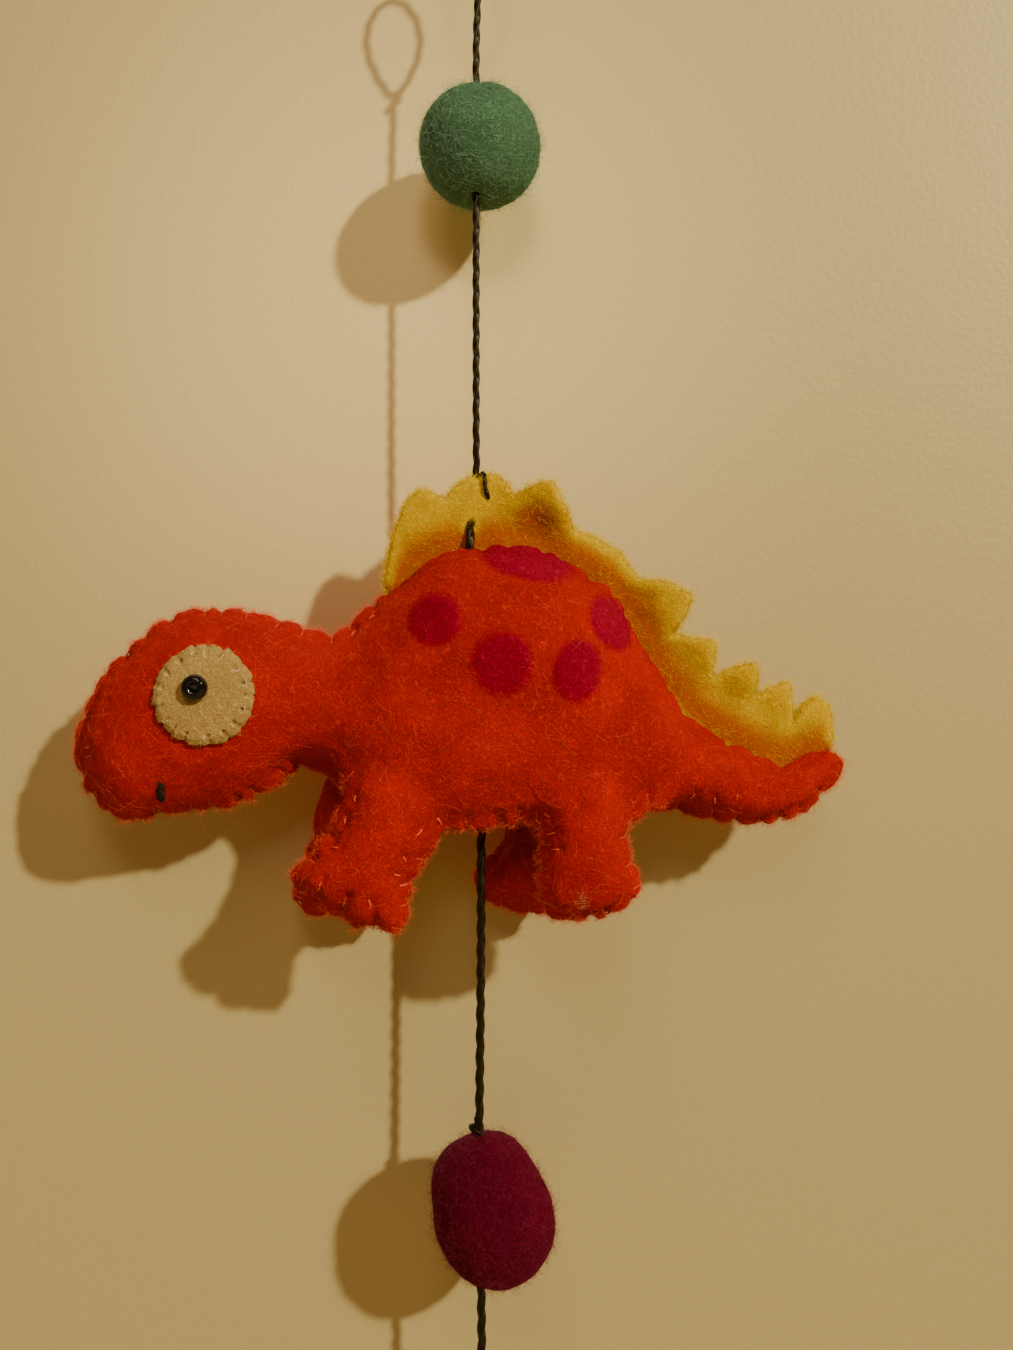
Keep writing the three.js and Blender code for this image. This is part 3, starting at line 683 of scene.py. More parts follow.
def sew(piece):
    """Pinches a skin at every stitch and lets it swell between them, sizes in mm."""
    points = points_of(piece)
    normals = normals_of(piece)
    moved = points.copy()
    touched = 0
    for index, point in enumerate(points):
        _, row, distance = seam_tree.find(point)
        if distance > SEAM_REACH * MM:
            continue
        number, i = seam_places[row]
        name, route, tangent, away = seams[number]
        offset = (point - route[i]) / MM
        inside = -float(offset @ away[i])
        across = offset + away[i] * inside - tangent[i] * float(offset @ tangent[i])
        gaps = np.abs(stitches[number] - i) * SEAM_STEP
        nearest = int(gaps.argmin())
        gap = float(gaps[nearest])
        size = float(lobe_sizes[number][nearest])
        from_tip = float(np.linalg.norm(point / MM - TAIL_TIP))
        size *= float(smoothstep(*TIP_FADE, from_tip))
        pinch = bell(gap, PINCH_REACH) * size
        depth = max(inside, float(np.linalg.norm(across)) * 0.7)
        edge = 1 - float(smoothstep(EDGE_BEGIN, FLANGE, depth))
        shift = away[i] * (LOBE_OUT - (LOBE_OUT + LOBE_IN) * pinch) * edge
        if name.startswith("belly"):
            shift = away[i] * BELLY_RIDGE * bell(distance / MM, RIDGE_REACH) + shift * 0.8
        squeeze = -across * SQUEEZE * pinch * edge
        past = inside - FLANGE
        dent = bell(past, DENT_ACROSS) * bell(gap, DENT_REACH)
        valley = bell(past, VALLEY_ACROSS) * FLANGE_VALLEY
        groove = bell(gap, GROOVE_REACH) * (1 - smoothstep(-GROOVE_ACROSS, GROOVE_ACROSS, past))
        pressed = (STITCH_DENT * dent + STITCH_GROOVE * groove) * size + valley
        moved[index] += (shift + squeeze - normals[index] * pressed) * MM
        touched += 1
    put_points(piece, moved)
    return touched


print("points moved at the seams:", sew(body))
soften(body, 0.5, 2)

# %% Dents of the stitches that show most
# Each row: x and height on the body in mm, slope in degrees, length in mm.
SHOWN = [
    (-23.4, -29.2, 70, 2.1), (-19.8, -31.7, 65, 2.0), (-15.8, -31.7, 100, 1.7),
    (-11.0, -29.4, 10, 1.4), (-11.8, -27.6, -20, 1.1), (-10.7, -25.2, 110, 1.1),
    (-21.2, -23.5, 5, 1.6), (-19.7, -19.4, 75, 1.4), (-18.2, -16.2, 80, 1.1),
    (-8.5, -21.2, 45, 1.5), (-5.6, -19.9, 120, 1.8), (10.7, -18.8, 150, 1.2),
    (11.3, -21.5, 20, 1.6), (11.9, -23.8, 15, 1.4), (33.5, -16.4, 60, 1.1),
    (37.0, -17.2, 100, 1.3), (40.3, -16.6, 70, 1.1), (-61.2, -9.0, 8, 1.6),
    (-61.0, -10.4, 14, 1.5), (-19.6, 9.0, 50, 1.6), (-16.6, 11.4, 40, 1.4),
]
DENT_DEEP = 0.42
DENT_WIDE = 0.75
# Pinches between the toes of the near front foot, from the stitch down over the edge,
# and one soft hollow on the near hind foot: both ends as x and height, depth and reach.
PINCHES = [
    (-22.9, -28.2, -25.0, -32.6, 0.75, 0.80), (-19.2, -30.6, -21.0, -34.2, 0.95, 0.80),
    (-15.2, -32.0, -15.4, -36.2, 0.85, 0.80), (-11.4, -30.2, -9.6, -33.0, 0.45, 0.70),
    (21.0, -26.2, 21.4, -27.2, 0.55, 1.30),
]


def dent(piece):
    """Presses the near side in along every stitch that shows."""
    points = points_of(piece)
    normals = normals_of(piece)
    deep = np.zeros(len(points))
    for x, z, slope, long in SHOWN:
        along, across = turned(*from_place(points, x, z), slope)
        past = np.maximum(np.abs(along) - long / 2, 0)
        deep = np.maximum(deep, bell(np.hypot(across, past), DENT_WIDE))
    deep *= smoothstep(0.1, 0.5, -normals[:, 1])
    pressed = deep * DENT_DEEP
    near = smoothstep(2.0, 5.0, -points[:, 1] / MM)
    for x, z, x_end, z_end, depth, reach in PINCHES:
        line = np.array((x_end - x, z_end - z))
        right, up = from_place(points, x, z)
        share = np.clip((right * line[0] + up * line[1]) / (line @ line), 0, 1)
        away = np.hypot(right - share * line[0], up - share * line[1])
        pressed = np.maximum(pressed, near * depth * bell(away, reach))
    put_points(piece, points - normals * (pressed * MM)[:, None])
    return int((pressed > 0.2).sum())


print("points in the dents:", dent(body))

# %% [markdown]
# ## Crimson spots
# The spots are wool that was felted into the skin with a needle, so they are part of the
# surface and only a little raised. Their places are measured once and used twice: here to
# lift the skin, and later to colour it.

# %% Raise the spots
# Each row: x and height on the body, half the width and half the height in mm, lean.
SPOTS = [
    (7.9, 20.4, 7.6, 3.7, -13.0), (-6.2, 10.8, 4.2, 4.1, 10.0), (3.9, 4.3, 4.6, 4.8, 0.0),
    (15.1, 3.0, 3.7, 4.8, -8.0), (20.5, 10.4, 3.2, 4.6, 24.0),
]
SPOT_PROUD = 0.32


def lump(piece, name, size, height, depth=2):
    """Makes felt uneven with a soft cloud pattern, its lumps of this size and height."""
    texture = bpy.data.textures.new(name, "CLOUDS")
    texture.noise_scale = size
    texture.noise_depth = depth
    modify(
        piece, "DISPLACE", texture=texture, texture_coords="LOCAL", strength=height, mid_level=0.5
    )


def spot_depth(points):
    """For each point 1 in the middle of a spot, 0 at its edge and outside."""
    best = np.zeros(len(points))
    for x, z, half_wide, half_tall, lean in SPOTS:
        across, upward = turned(*from_place(points, x, z), lean)
        best = np.maximum(best, 1 - np.hypot(across / half_wide, upward / half_tall))
    return np.clip(best, 0, 1)


skin = points_of(body)
raised = smoothstep(0.0, 0.22, spot_depth(skin)) * SPOT_PROUD * MM
put_points(body, skin + normals_of(body) * raised[:, None])
lump(body, "stuffing", 0.011, 0.8 * MM)
lump(body, "felt_bumps", 0.0026, 0.30 * MM, 1)
lump(body, "felt_crumbs", 0.0011, 0.14 * MM, 1)
shade_smooth(body)
print("points in the spots:", int((raised > 0).sum()))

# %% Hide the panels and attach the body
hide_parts("side_panel_near", "side_panel_far", "belly_gusset")
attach(body, "root")
print("body triangles:", triangles_of(body))

# %% [markdown]
# ## Sewing thread
# The overcast stitches are a strand of paler orange thread. One stitch is a short tube
# that starts in a dent on the near side, runs over the edge and ends in the dent behind.
# Its points are pulled onto the skin so that it lies on the felt, and all stitches are
# joined in one mesh.

# %% A strand over the felt
def tube_rows(paths, radii, sides):
    """Points and faces of many closed tapering tubes, each path with as many points."""
    paths = np.asarray(paths)
    count, steps, _ = paths.shape
    chord = paths[:, -1:, :] - paths[:, :1, :]
    tangent = np.gradient(paths, axis=1)
    short = np.linalg.norm(tangent, axis=2, keepdims=True) < 1e-7
    tangent = unit(np.where(short, np.broadcast_to(chord, tangent.shape), tangent))
    upright = np.abs(tangent[:, :, 2:3]) > 0.9
    helper = np.where(upright, np.array((1.0, 0, 0)), np.array((0, 0, 1.0)))
    first = unit(np.cross(tangent, helper))
    second = np.cross(tangent, first)
    turns = 2 * np.pi * np.arange(sides) / sides
    ring = (
        first[:, :, None, :] * np.cos(turns)[None, None, :, None]
        + second[:, :, None, :] * np.sin(turns)[None, None, :, None]
    )
    radii = np.broadcast_to(radii, (count, steps))
    points = paths[:, :, None, :] + ring * radii[:, :, None, None]
    points = points.reshape(-1, 3)
    first_point = np.arange(count) * steps * sides
    step = np.arange(steps - 1)[None, :, None] * sides
    side = np.arange(sides)
    a = first_point[:, None, None] + step + side
    b = first_point[:, None, None] + step + (side + 1) % sides
    quads = np.stack([a, b, b + sides, a + sides], axis=-1).reshape(-1, 4)
    starts = first_point[:, None] + side[::-1]
    ends = first_point[:, None] + (steps - 1) * sides + side
    return points, quads, np.vstack([starts, ends])


def mesh_of_tubes(name, paths, radii, sides=3):
    points, quads, caps = tube_rows(paths, radii, sides)
    mesh = bpy.data.meshes.new(name)
    mesh.from_pydata(points.tolist(), [], quads.tolist() + caps.tolist())
    mesh.update()
    piece = new_object(name, mesh)
    shade_smooth(piece)
    return piece


def surface_of(piece):
    """A search tree over the faces of a piece."""
    mesh = piece.data
    corners = [vertex.co for vertex in mesh.vertices]
    return BVHTree.FromPolygons(corners, [face.vertices[:] for face in mesh.polygons])


one_strand = tube_rows([[(0, 0, 0), (0, 0, 1)]], 0.1, 3)
print("points, sides and ends of one short strand:", [len(rows) for rows in one_strand])

# %% Overcast stitches along the seams
THREAD_RADIUS = 0.13
STITCH_STEPS = 13
STITCH_DEEP = 2.9
# The thread lies proud on the legs and on the neck, and deep in the wool elsewhere.
NECK = (-0.026, -0.006)
PROUD = 0.05
DEEP = -0.04
DIVE = -0.3
# What differs from stitch to stitch: its slant along the seam (mean and spread), its
# length as a share and its lift, and how wide it lies at its middle and grows outwards.
SLANT = (0.35, 0.2)
LONGER = (0.85, 1.1)
HIGHER = (-0.10, 0.07)
STITCH_WIDE = 1.6
WIDER_OUT = 0.6

body_surface = surface_of(body)
strands = []
for (name, route, tangent, away), places in zip(seams, stitches):
    for i in places:
        slant = sewing.normal(*SLANT)
        reach = STITCH_DEEP * sewing.uniform(*LONGER)
        lift = sewing.uniform(*HIGHER)
        strand = []
        for share in np.linspace(-1, 1, STITCH_STEPS):
            inside = reach * abs(share) ** 1.3
            wide = share * (STITCH_WIDE + WIDER_OUT * abs(share))
            side = np.cross(tangent[i], away[i]) * wide
            guess = route[i] + (-away[i] * inside + side + tangent[i] * slant * share) * MM
            spot, normal, _, gap = body_surface.find_nearest(Vector(guess))
            shows = name.startswith("leg") or NECK[0] < route[i][0] < NECK[1]
            sunk = DIVE if abs(share) > 0.95 else (PROUD if shows else DEEP) + lift
            strand.append(np.array(spot + normal * sunk * MM))
        strands.append(strand)
thread_radii = np.full(STITCH_STEPS, THREAD_RADIUS * MM)
overcast = mesh_of_tubes("overcast_stitches", strands, thread_radii, 6)
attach(overcast, "root")
print("thread triangles:", triangles_of(overcast))

# %% The stitches that show most, in thread
SHORT_STEPS = 9
SHOWN_RADIUS = 0.14
SHOWN_PROUD = 0.13
SHOWN_DIVE = 0.5

shown = []
for x, z, slope, long in SHOWN:
    turn = math.radians(slope)
    strand = []
    for share in np.linspace(-0.5, 0.5, SHORT_STEPS):
        start_x = (x + long * share * math.cos(turn)) * MM
        start_z = (z + BODY_MIDDLE + long * share * math.sin(turn)) * MM
        start = Vector((start_x, -0.05, start_z))
        spot, normal, *_ = body_surface.ray_cast(start, Vector((0, 1, 0)))
        if spot is None:
            continue
        sunk = SHOWN_PROUD - SHOWN_DIVE * (2 * abs(share)) ** 3
        strand.append(np.array(spot + normal * sunk * MM))
    if len(strand) == SHORT_STEPS:
        shown.append(strand)
shown_radii = np.full(SHORT_STEPS, SHOWN_RADIUS * MM)
shown_stitches = mesh_of_tubes("shown_stitches", shown, shown_radii, 6)
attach(shown_stitches, "root")
print("stitches that show:", len(shown))

# %% [markdown]
# ## The crest
# The crest is one strip of yellow felt with its teeth cut by scissors. The solid has the
# right outline but sharp faces. A copy is remeshed into small squares and smoothed, which
# rounds the cut edge as loose wool does, and two cloud patterns make it uneven.

# %% Yellow crest
CREST_VOXEL = 0.42 * MM
CREST_ROUNDS = 9
CREST_GROWTH = 0.30 * MM

crest = copy_of("toothed_crest", "crest")
remesh(crest, CREST_VOXEL)
soften(crest, 0.5, CREST_ROUNDS)
grow(crest, CREST_GROWTH)

# Each row: x and height on the body, reach and push away from the viewer, in mm.
CREST_FOLDS = [
    (7.0, 26.0, 4.4, 1.2), (13.4, 28.6, 3.2, -1.3), (-9.0, 25.0, 3.4, -0.7),
    (-1.0, 30.5, 3.0, -0.6), (19.0, 20.5, 3.4, -0.7), (23.5, 15.2, 3.0, 0.6),
    (29.6, 12.2, 3.0, -0.8), (31.5, 5.5, 3.0, 0.7), (36.0, 4.6, 2.4, -0.6),
    (39.0, -0.6, 2.8, 0.7), (42.2, 1.2, 2.4, -0.6), (44.8, -3.6, 2.6, 0.6),
    (48.6, -1.6, 2.2, -0.6), (53.5, -4.6, 2.6, -0.7),
]
flat = points_of(crest)
push = np.zeros(len(flat))
for x, z, reach, deep in CREST_FOLDS:
    push += deep * bell(np.hypot(*from_place(flat, x, z)), reach)
flat[:, 1] += push * MM
put_points(crest, flat)
lump(crest, "crest_wave", 0.006, 0.7 * MM)
lump(crest, "crest_wool", 0.0022, 0.24 * MM, 1)
shade_smooth(crest)


def nearest_distances(points, targets):
    """How far each point is from the nearest target, seen from the side, in mm."""
    tree = tree_of([(x, 0, z) for x, _, z in targets])
    return np.array([tree.find((x, 0, z))[2] for x, _, z in points]) / MM


FOLD_PLACE = (9.0, 25.8)
# From where to where each effect fades, in mm: the painted orange shade and bounce light from the
# body, the same before the cut edge, the painted orange shade round the fold, the same before the
# cut edge, and the painted rim light on the loose cut edge.
BODY_FADE = (1.0, 6.0)
BODY_CLEAR = (0.4, 2.4)
FOLD_FADE = (2.2, 5.4)
FOLD_CLEAR = (0.6, 2.6)
RIM_FADE = (0.1, 1.9)


def shade_crest(piece):
    """Writes on each point of the crest the painted orange shade and bounce light from the body and
    the fold, and the painted rim light by how near the cut edge it is.
    """
    points = points_of(piece)
    from_body = nearest_distances(points, seams[0][1])
    rim = points[(np.abs(normals_of(piece)[:, 1]) < 0.5) & (from_body > 2.0)]
    from_rim = nearest_distances(points, rim)
    # Painted shade: orange near the body, where its shade and orange bounce light fall on the
    # crest.
    painted_orange_shade = (1 - smoothstep(*BODY_FADE, from_body)) * smoothstep(*BODY_CLEAR, from_rim)
    fold = np.hypot(*from_place(points, *FOLD_PLACE))
    # Painted shade in the fold of the tooth.
    painted_fold_shade = (1 - smoothstep(*FOLD_FADE, fold)) * smoothstep(*FOLD_CLEAR, from_rim)
    share = np.clip(np.maximum(painted_orange_shade, painted_fold_shade), 0, 1)
    # Painted rim light: the loose cut edge is painted paler.
    loose = 1 - smoothstep(*RIM_FADE, from_rim)
    for name, values in (("painted_orange_shade", share), ("painted_rim_light", loose)):
        attribute = piece.data.attributes.new(name, "FLOAT", "POINT")
        attribute.data.foreach_set("value", values.astype(np.float32))
    return round(float(share.mean()), 2)


print("mean orange on the crest:", shade_crest(crest))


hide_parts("crest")
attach(crest, "root")

# %% [markdown]
# ## The eyes
# A cream disc is sewn on each side of the head with small stitches over its edge, and a
# black glass bead is sewn to the disc. The disc starts as a copy of its solid. At every
# stitch its edge is pulled in and a small hole is pressed 1.4 mm inside the edge.

# %% Cream discs
EYE = np.array((-41.2, -0.6 + BODY_MIDDLE)) * MM
EYE_LOBES = 17
# From the disc's middle out, in mm: where its wavy edge begins and ends, and where the
# stitches go in. Then how far the edge stands out between two stitches and is pulled in
# at one, and how deep a hole and the felt round it are.
EDGE_BEGINS = 5.6
EDGE_ENDS = 7.4
HOLE_RING = 6.3
EDGE_OUT = 0.16
EDGE_IN = 0.24
HOLE_DEEP = 0.85
EDGE_DEEP = 0.22
# How far a hole reaches across the edge in mm, and how far a hole and a pinch reach along
# it as shares of a lobe.
HOLE_REACH = 0.32
HOLE_SHARE = 0.09
PINCH_SHARE = 0.15
DISC_VOXEL = 0.26 * MM


SLOW_DRIFT = 0.16
QUICK_DRIFT = 0.12


def drift(turn, side):
    """How far the stitch at this turn is out of its even place, as a share of a lobe."""
    return SLOW_DRIFT * np.sin(3 * turn + 1.0) + QUICK_DRIFT * np.sin(5 * turn + side)


def eye_disc(node_name, side):
    disc = copy_of(node_name + "_felt", node_name)
    remesh(disc, DISC_VOXEL)
    soften(disc, 0.5, 3)
    points = points_of(disc)
    normals = normals_of(disc)
    dx = points[:, 0] - EYE[0]
    dz = points[:, 2] - EYE[1]
    turn = np.arctan2(dz, dx)
    out = np.hypot(dx, dz) / MM
    near_stitch = np.abs((turn / (2 * np.pi) * EYE_LOBES + drift(turn, side) + 0.5) % 1 - 0.5)
    pinch = bell(near_stitch, PINCH_SHARE)
    edge = smoothstep(EDGE_BEGINS, EDGE_ENDS, out)
    pull = (EDGE_OUT * (1 - pinch) - EDGE_IN * pinch) * edge * MM
    points[:, 0] += np.cos(turn) * pull
    points[:, 2] += np.sin(turn) * pull
    facing = (normals[:, 1] * side > 0.3).astype(float)
    hole = bell(out - HOLE_RING, HOLE_REACH) * bell(near_stitch, HOLE_SHARE)
    sunk = (HOLE_DEEP * hole + EDGE_DEEP * edge * pinch) * facing * MM
    points[:, 1] -= side * sunk
    put_points(disc, points)
    lump(disc, node_name + "_wave", 0.0045, 0.30 * MM, 1)
    lump(disc, node_name + "_wool", 0.0017, 0.18 * MM, 1)
    shade_smooth(disc)
    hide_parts(node_name)
    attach(disc, "root")
    return disc


discs = [eye_disc("eye_disc_near", -1), eye_disc("eye_disc_far", 1)]
print("disc triangles:", triangles_of(discs[0]))

# %% Stitches on the discs
STITCH_FROM = 6.2
STITCH_TO = 7.9
END_DEEP = -0.25
MIDDLE_DEEP = -0.06

disc_strands = []
for disc, side in zip(discs, (-1, 1)):
    surface = surface_of(disc)
    low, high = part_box("eye_disc_near" if side < 0 else "eye_disc_far")
    face_y = low.y if side < 0 else high.y
    for lobe in range(EYE_LOBES):
        turn = 2 * math.pi * lobe / EYE_LOBES
        turn -= drift(turn, side) * 2 * math.pi / EYE_LOBES
        strand = []
        for out in np.linspace(STITCH_FROM, STITCH_TO, SHORT_STEPS):
            spot_x = EYE[0] + out * MM * math.cos(turn)
            spot_z = EYE[1] + out * MM * math.sin(turn)
            spot, normal, *_ = surface.find_nearest(Vector((spot_x, face_y, spot_z)))
            sunk = END_DEEP if out in (STITCH_FROM, STITCH_TO) else MIDDLE_DEEP
            strand.append(np.array(spot + normal * sunk * MM))
        disc_strands.append(strand)
disc_thread = mesh_of_tubes("disc_stitches", disc_strands, np.full(SHORT_STEPS, 0.10 * MM), 6)
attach(disc_thread, "root")
print("disc stitches:", len(disc_strands))

# %% [markdown]
# ## The beads
# A seed bead is a short ring of glass with a rounded rim. A torus already has this
# section, so it is added at the bead's place, turned to face outwards and drawn a little
# longer along its hole. A dark thread knot fills the hole.

# %% Black glass beads
RING_RADIUS = 1.12
GLASS_RADIUS = 0.90
BEAD_THICKER = 1.3
BEAD_SUNK = 0.6
# The thread in the hole, from the middle of the bead: right, outwards and up, in mm.
BEAD_KNOT = [
    (-0.3, 0.2, -0.1), (-0.25, 0.75, 0.0), (0.15, 0.85, 0.1), (0.35, 0.55, -0.1),
    (0.3, -0.2, 0.0),
]


def add_mesh(name, operator, **settings):
    """Adds one of Blender's ready meshes and names it."""
    bpy.ops.object.select_all(action="DESELECT")
    operator(**settings)
    piece = bpy.context.object
    piece.name = name
    return piece


def stretch(piece, *sizes):
    """Scales the points of a piece along x, y and z."""
    edit(piece, bpy.ops.transform.resize, value=sizes)


def bead(node_name, side):
    low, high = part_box(node_name)
    centre = (low + high) / 2 - Vector((0, side * BEAD_SUNK * MM, 0))
    ring = add_mesh(
        node_name + "_glass", bpy.ops.mesh.primitive_torus_add,
        location=centre, rotation=(math.radians(90), 0, 0), major_segments=48, minor_segments=20,
        major_radius=RING_RADIUS * MM, minor_radius=GLASS_RADIUS * MM,
    )
    stretch(ring, 1, BEAD_THICKER, 1)
    bpy.ops.object.transform_apply(location=True, rotation=True, scale=True)
    bpy.ops.object.shade_smooth()
    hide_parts(node_name)
    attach(ring, "root")
    rows = [
        (centre.x / MM + x, centre.y / MM + side * out, centre.z / MM + z)
        for x, out, z in BEAD_KNOT
    ]
    filling = twist_cord(
        node_name + "_thread", route_through(rows, 0.1 * MM), 0.42 * MM, 1.4 * MM, plies=2
    )
    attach(filling, "root")
    return ring, filling


bead_parts = [bead("eye_bead_near", -1), bead("eye_bead_far", 1)]
print("bead triangles:", triangles_of(bead_parts[0][0]))

# %% [markdown]
# ## The mouth
# One short stitch of black thread makes the mouth on each side. Two plies are twisted
# along a line that is pulled onto the felt, so that both ends dive into the skin.

# %% Mouth stitches
# Each row: x and height on the body, and how far over the felt the thread lies, in mm.
MOUTH_RUN = [(-48.5, -14.2, -0.45), (-48.9, -15.8, 0.24), (-49.2, -17.2, -0.45)]
MOUTH_RADIUS = 0.60


def mouth(node_name, side):
    low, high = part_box(node_name)
    face = low.y if side < 0 else high.y
    rows = []
    for x, z, proud in MOUTH_RUN:
        start = Vector((x * MM, face + side * 5 * MM, (z + BODY_MIDDLE) * MM))
        spot, normal, *_ = body_surface.ray_cast(start, Vector((0, -side, 0)))
        rows.append(np.array(spot + normal * proud * MM) / MM)
    piece = twist_cord(
        node_name + "_thread", route_through(rows, 0.12 * MM), MOUTH_RADIUS * MM, 3.6 * MM, plies=2
    )
    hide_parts(node_name)
    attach(piece, "root")
    return piece


mouths = [mouth("mouth_stitch_near", -1), mouth("mouth_stitch_far", 1)]
print("mouth triangles:", triangles_of(mouths[0]))

# %% [markdown]
# ## The felted balls
# A wet-felted ball is wool rolled between the hands until it holds together, so it is
# nearly round but never quite. Each starts as an even ball of small triangles, is drawn
# to its length and tilt, and gets slow lumps. The wool sinks where the cord enters.

# %% Balls
BALL_SPLITS = 6
# How far the wool sinks round the cord, in mm: a narrow funnel and a share of a wide one.
FUNNEL = 0.8
WIDE_FUNNEL = 2.2
WIDE_SHARE = 0.35


def felt_ball(name, node_name, wide, tall, lean, uneven, bulges, ends):
    """A ball drawn out to its length. Sizes are in mm, the lean is in degrees.

    bulges are (angle in the front view, share, width in degrees) and ends, where the
    cord enters, are (x, y, 1 at the top or -1 below, how deep the wool sinks).
    """
    low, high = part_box(node_name)
    centre = (low + high) / 2
    ball = add_mesh(
        name, bpy.ops.mesh.primitive_ico_sphere_add,
        subdivisions=BALL_SPLITS, radius=wide * MM, location=(0, 0, 0),
    )
    stretch(ball, 1, 1, tall / wide)
    turn = Matrix.Rotation(math.radians(lean), 3, "Y")
    points = points_of(ball) @ np.array(turn.transposed())
    view_angle = np.degrees(np.arctan2(points[:, 2], points[:, 0]))
    outwards = np.hypot(points[:, 0], points[:, 2]) / np.linalg.norm(points, axis=1)
    for angle, share, width in bulges:
        gap = np.abs((view_angle - angle + 180) % 360 - 180)
        points *= (1 + share * bell(gap, width) * outwards**2)[:, None]
    put_points(ball, points + np.array(centre))
    lump(ball, name + "_lumps", 0.012, uneven * MM)
    lump(ball, name + "_wool", 0.002, 0.22 * MM, 1)
    points = points_of(ball)
    for x, y, sign, deep in ends:
        away = np.hypot(points[:, 0] - x * MM, points[:, 1] - y * MM) / MM
        same_half = (points[:, 2] - centre.z) * sign > 0
        funnel = bell(away, FUNNEL) + WIDE_SHARE * bell(away, WIDE_FUNNEL)
        sink = deep * funnel * same_half
        points[:, 2] -= sign * sink * MM
    put_points(ball, points)
    shade_smooth(ball)
    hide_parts(node_name)
    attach(ball, "root")
    return ball


GREEN_BULGES = [(150, 0.02, 30), (-40, 0.015, 25)]
PLUM_BULGES = [
    (138, 0.07, 26), (178, -0.05, 20), (-140, -0.02, 26), (-30, 0.035, 30), (40, -0.07, 22),
    (85, 0.03, 22),
]
GREEN_ENDS = [(-0.2, 0, 1, 0.8), (-0.3, 0, -1, 0.8)]
PLUM_ENDS = [(0.2, 0, 1, 0.35), (0.5, 0, -1, 0.8)]

ball_green = felt_ball("green_ball", "ball_green", 9.78, 9.78, 0, 0.25, GREEN_BULGES, GREEN_ENDS)
ball_plum = felt_ball("plum_ball", "ball_plum", 9.75, 12.2, -9, 0.5, PLUM_BULGES, PLUM_ENDS)
print("ball triangles:", triangles_of(ball_green))

# %% [markdown]
# ## Loose fibres
# Felt is never clean: wool fibres lie in curls on it and stand off its edges. Hair
# particles would not survive an export, so each fibre is a real thin tube with three
# sides. The fibres of one piece are joined in one mesh, with a fixed seed.

# %% Fibres on a surface
STANDING_LIFT = (0.2, 0.85)
LYING_LIFT = (0.02, 0.1)
MOST_LIFT = 0.95
CURL = 0.6
ROOT_DEEP = 0.05
# How thick a fibre is along its length: its share of the length, its share of thickness.
TAPER = ((0, 0.3, 0.6, 1), (0.8, 1.0, 0.95, 0.35))


def fibres_on(name, piece, count, seed, long, stand, steps, thick, keep):
    """Curled wool fibres over a piece, of which a share stand up and the rest lie down.

    long is their shortest and longest length and thick their radius, in mm. keep chooses
    the places that get them.
    """
    chance = np.random.default_rng(seed)
    mesh = piece.data
    mesh.calc_loop_triangles()
    corners = np.empty(len(mesh.loop_triangles) * 3, int)
    mesh.loop_triangles.foreach_get("vertices", corners)
    corners = corners.reshape(-1, 3)
    points = points_of(piece)
    normals = normals_of(piece)
    if keep is not None:
        corners = corners[keep(points[corners].mean(axis=1), normals[corners].mean(axis=1))]
    a, b, c = (points[corners[:, i]] for i in range(3))
    areas = np.linalg.norm(np.cross(b - a, c - a), axis=1)
    chosen = chance.choice(len(corners), count, p=areas / areas.sum())
    u, v = chance.random(count), chance.random(count)
    flip = u + v > 1
    u[flip], v[flip] = 1 - u[flip], 1 - v[flip]
    start = a[chosen] + (b - a)[chosen] * u[:, None] + (c - a)[chosen] * v[:, None]
    out = unit(normals[corners[chosen]].mean(axis=1))
    side = unit(np.cross(out, chance.normal(size=(count, 3))))
    bend = np.cross(out, side)
    length = chance.uniform(*long, count) * MM
    standing = chance.random(count) < stand
    lift = np.where(
        standing, chance.uniform(*STANDING_LIFT, count), chance.uniform(*LYING_LIFT, count)
    )
    curl = chance.normal(0, CURL, count)
    share = np.linspace(0, 1, steps)[None, :, None]
    hump = np.where(standing[:, None, None], share**0.8, np.sin(np.pi * share))
    along = length * np.sqrt(1 - np.clip(lift, 0, MOST_LIFT) ** 2)
    paths = (
        start[:, None, :]
        + side[:, None, :] * share * along[:, None, None]
        + out[:, None, :] * hump * (length * lift)[:, None, None]
        + bend[:, None, :] * share**2 * (length * curl)[:, None, None]
        - out[:, None, :] * ROOT_DEEP * MM
    )
    radii = thick * MM * np.interp(np.linspace(0, 1, steps), *TAPER)
    return mesh_of_tubes(name, paths, radii)


print("lift of standing fibres:", STANDING_LIFT, "of lying ones:", LYING_LIFT)

# %% Fibres of each felt
SPOT_EDGE = 0.02
EDGE_REACH = 1.7
EDGE_FACING = 0.62
TUFT_PLACE = np.array((15.8, -15.0, BODY_MIDDLE - 31.3))
TUFT_SHAPE = np.array((1.3, 0.4, 0.9))
TUFT_REACH = 1.3


def spot_places(points, normals):
    return spot_depth(points) > SPOT_EDGE


def plain_places(points, normals):
    return spot_depth(points) <= SPOT_EDGE


def sewn_edges(points, normals):
    return np.array([seam_tree.find(point)[2] < EDGE_REACH * MM for point in points])


def cut_edges(points, normals):
    return np.abs(normals[:, 1]) < EDGE_FACING


def foot_spot(points, normals):
    away = (points - TUFT_PLACE * MM) * TUFT_SHAPE
    return np.linalg.norm(away, axis=1) < TUFT_REACH * MM


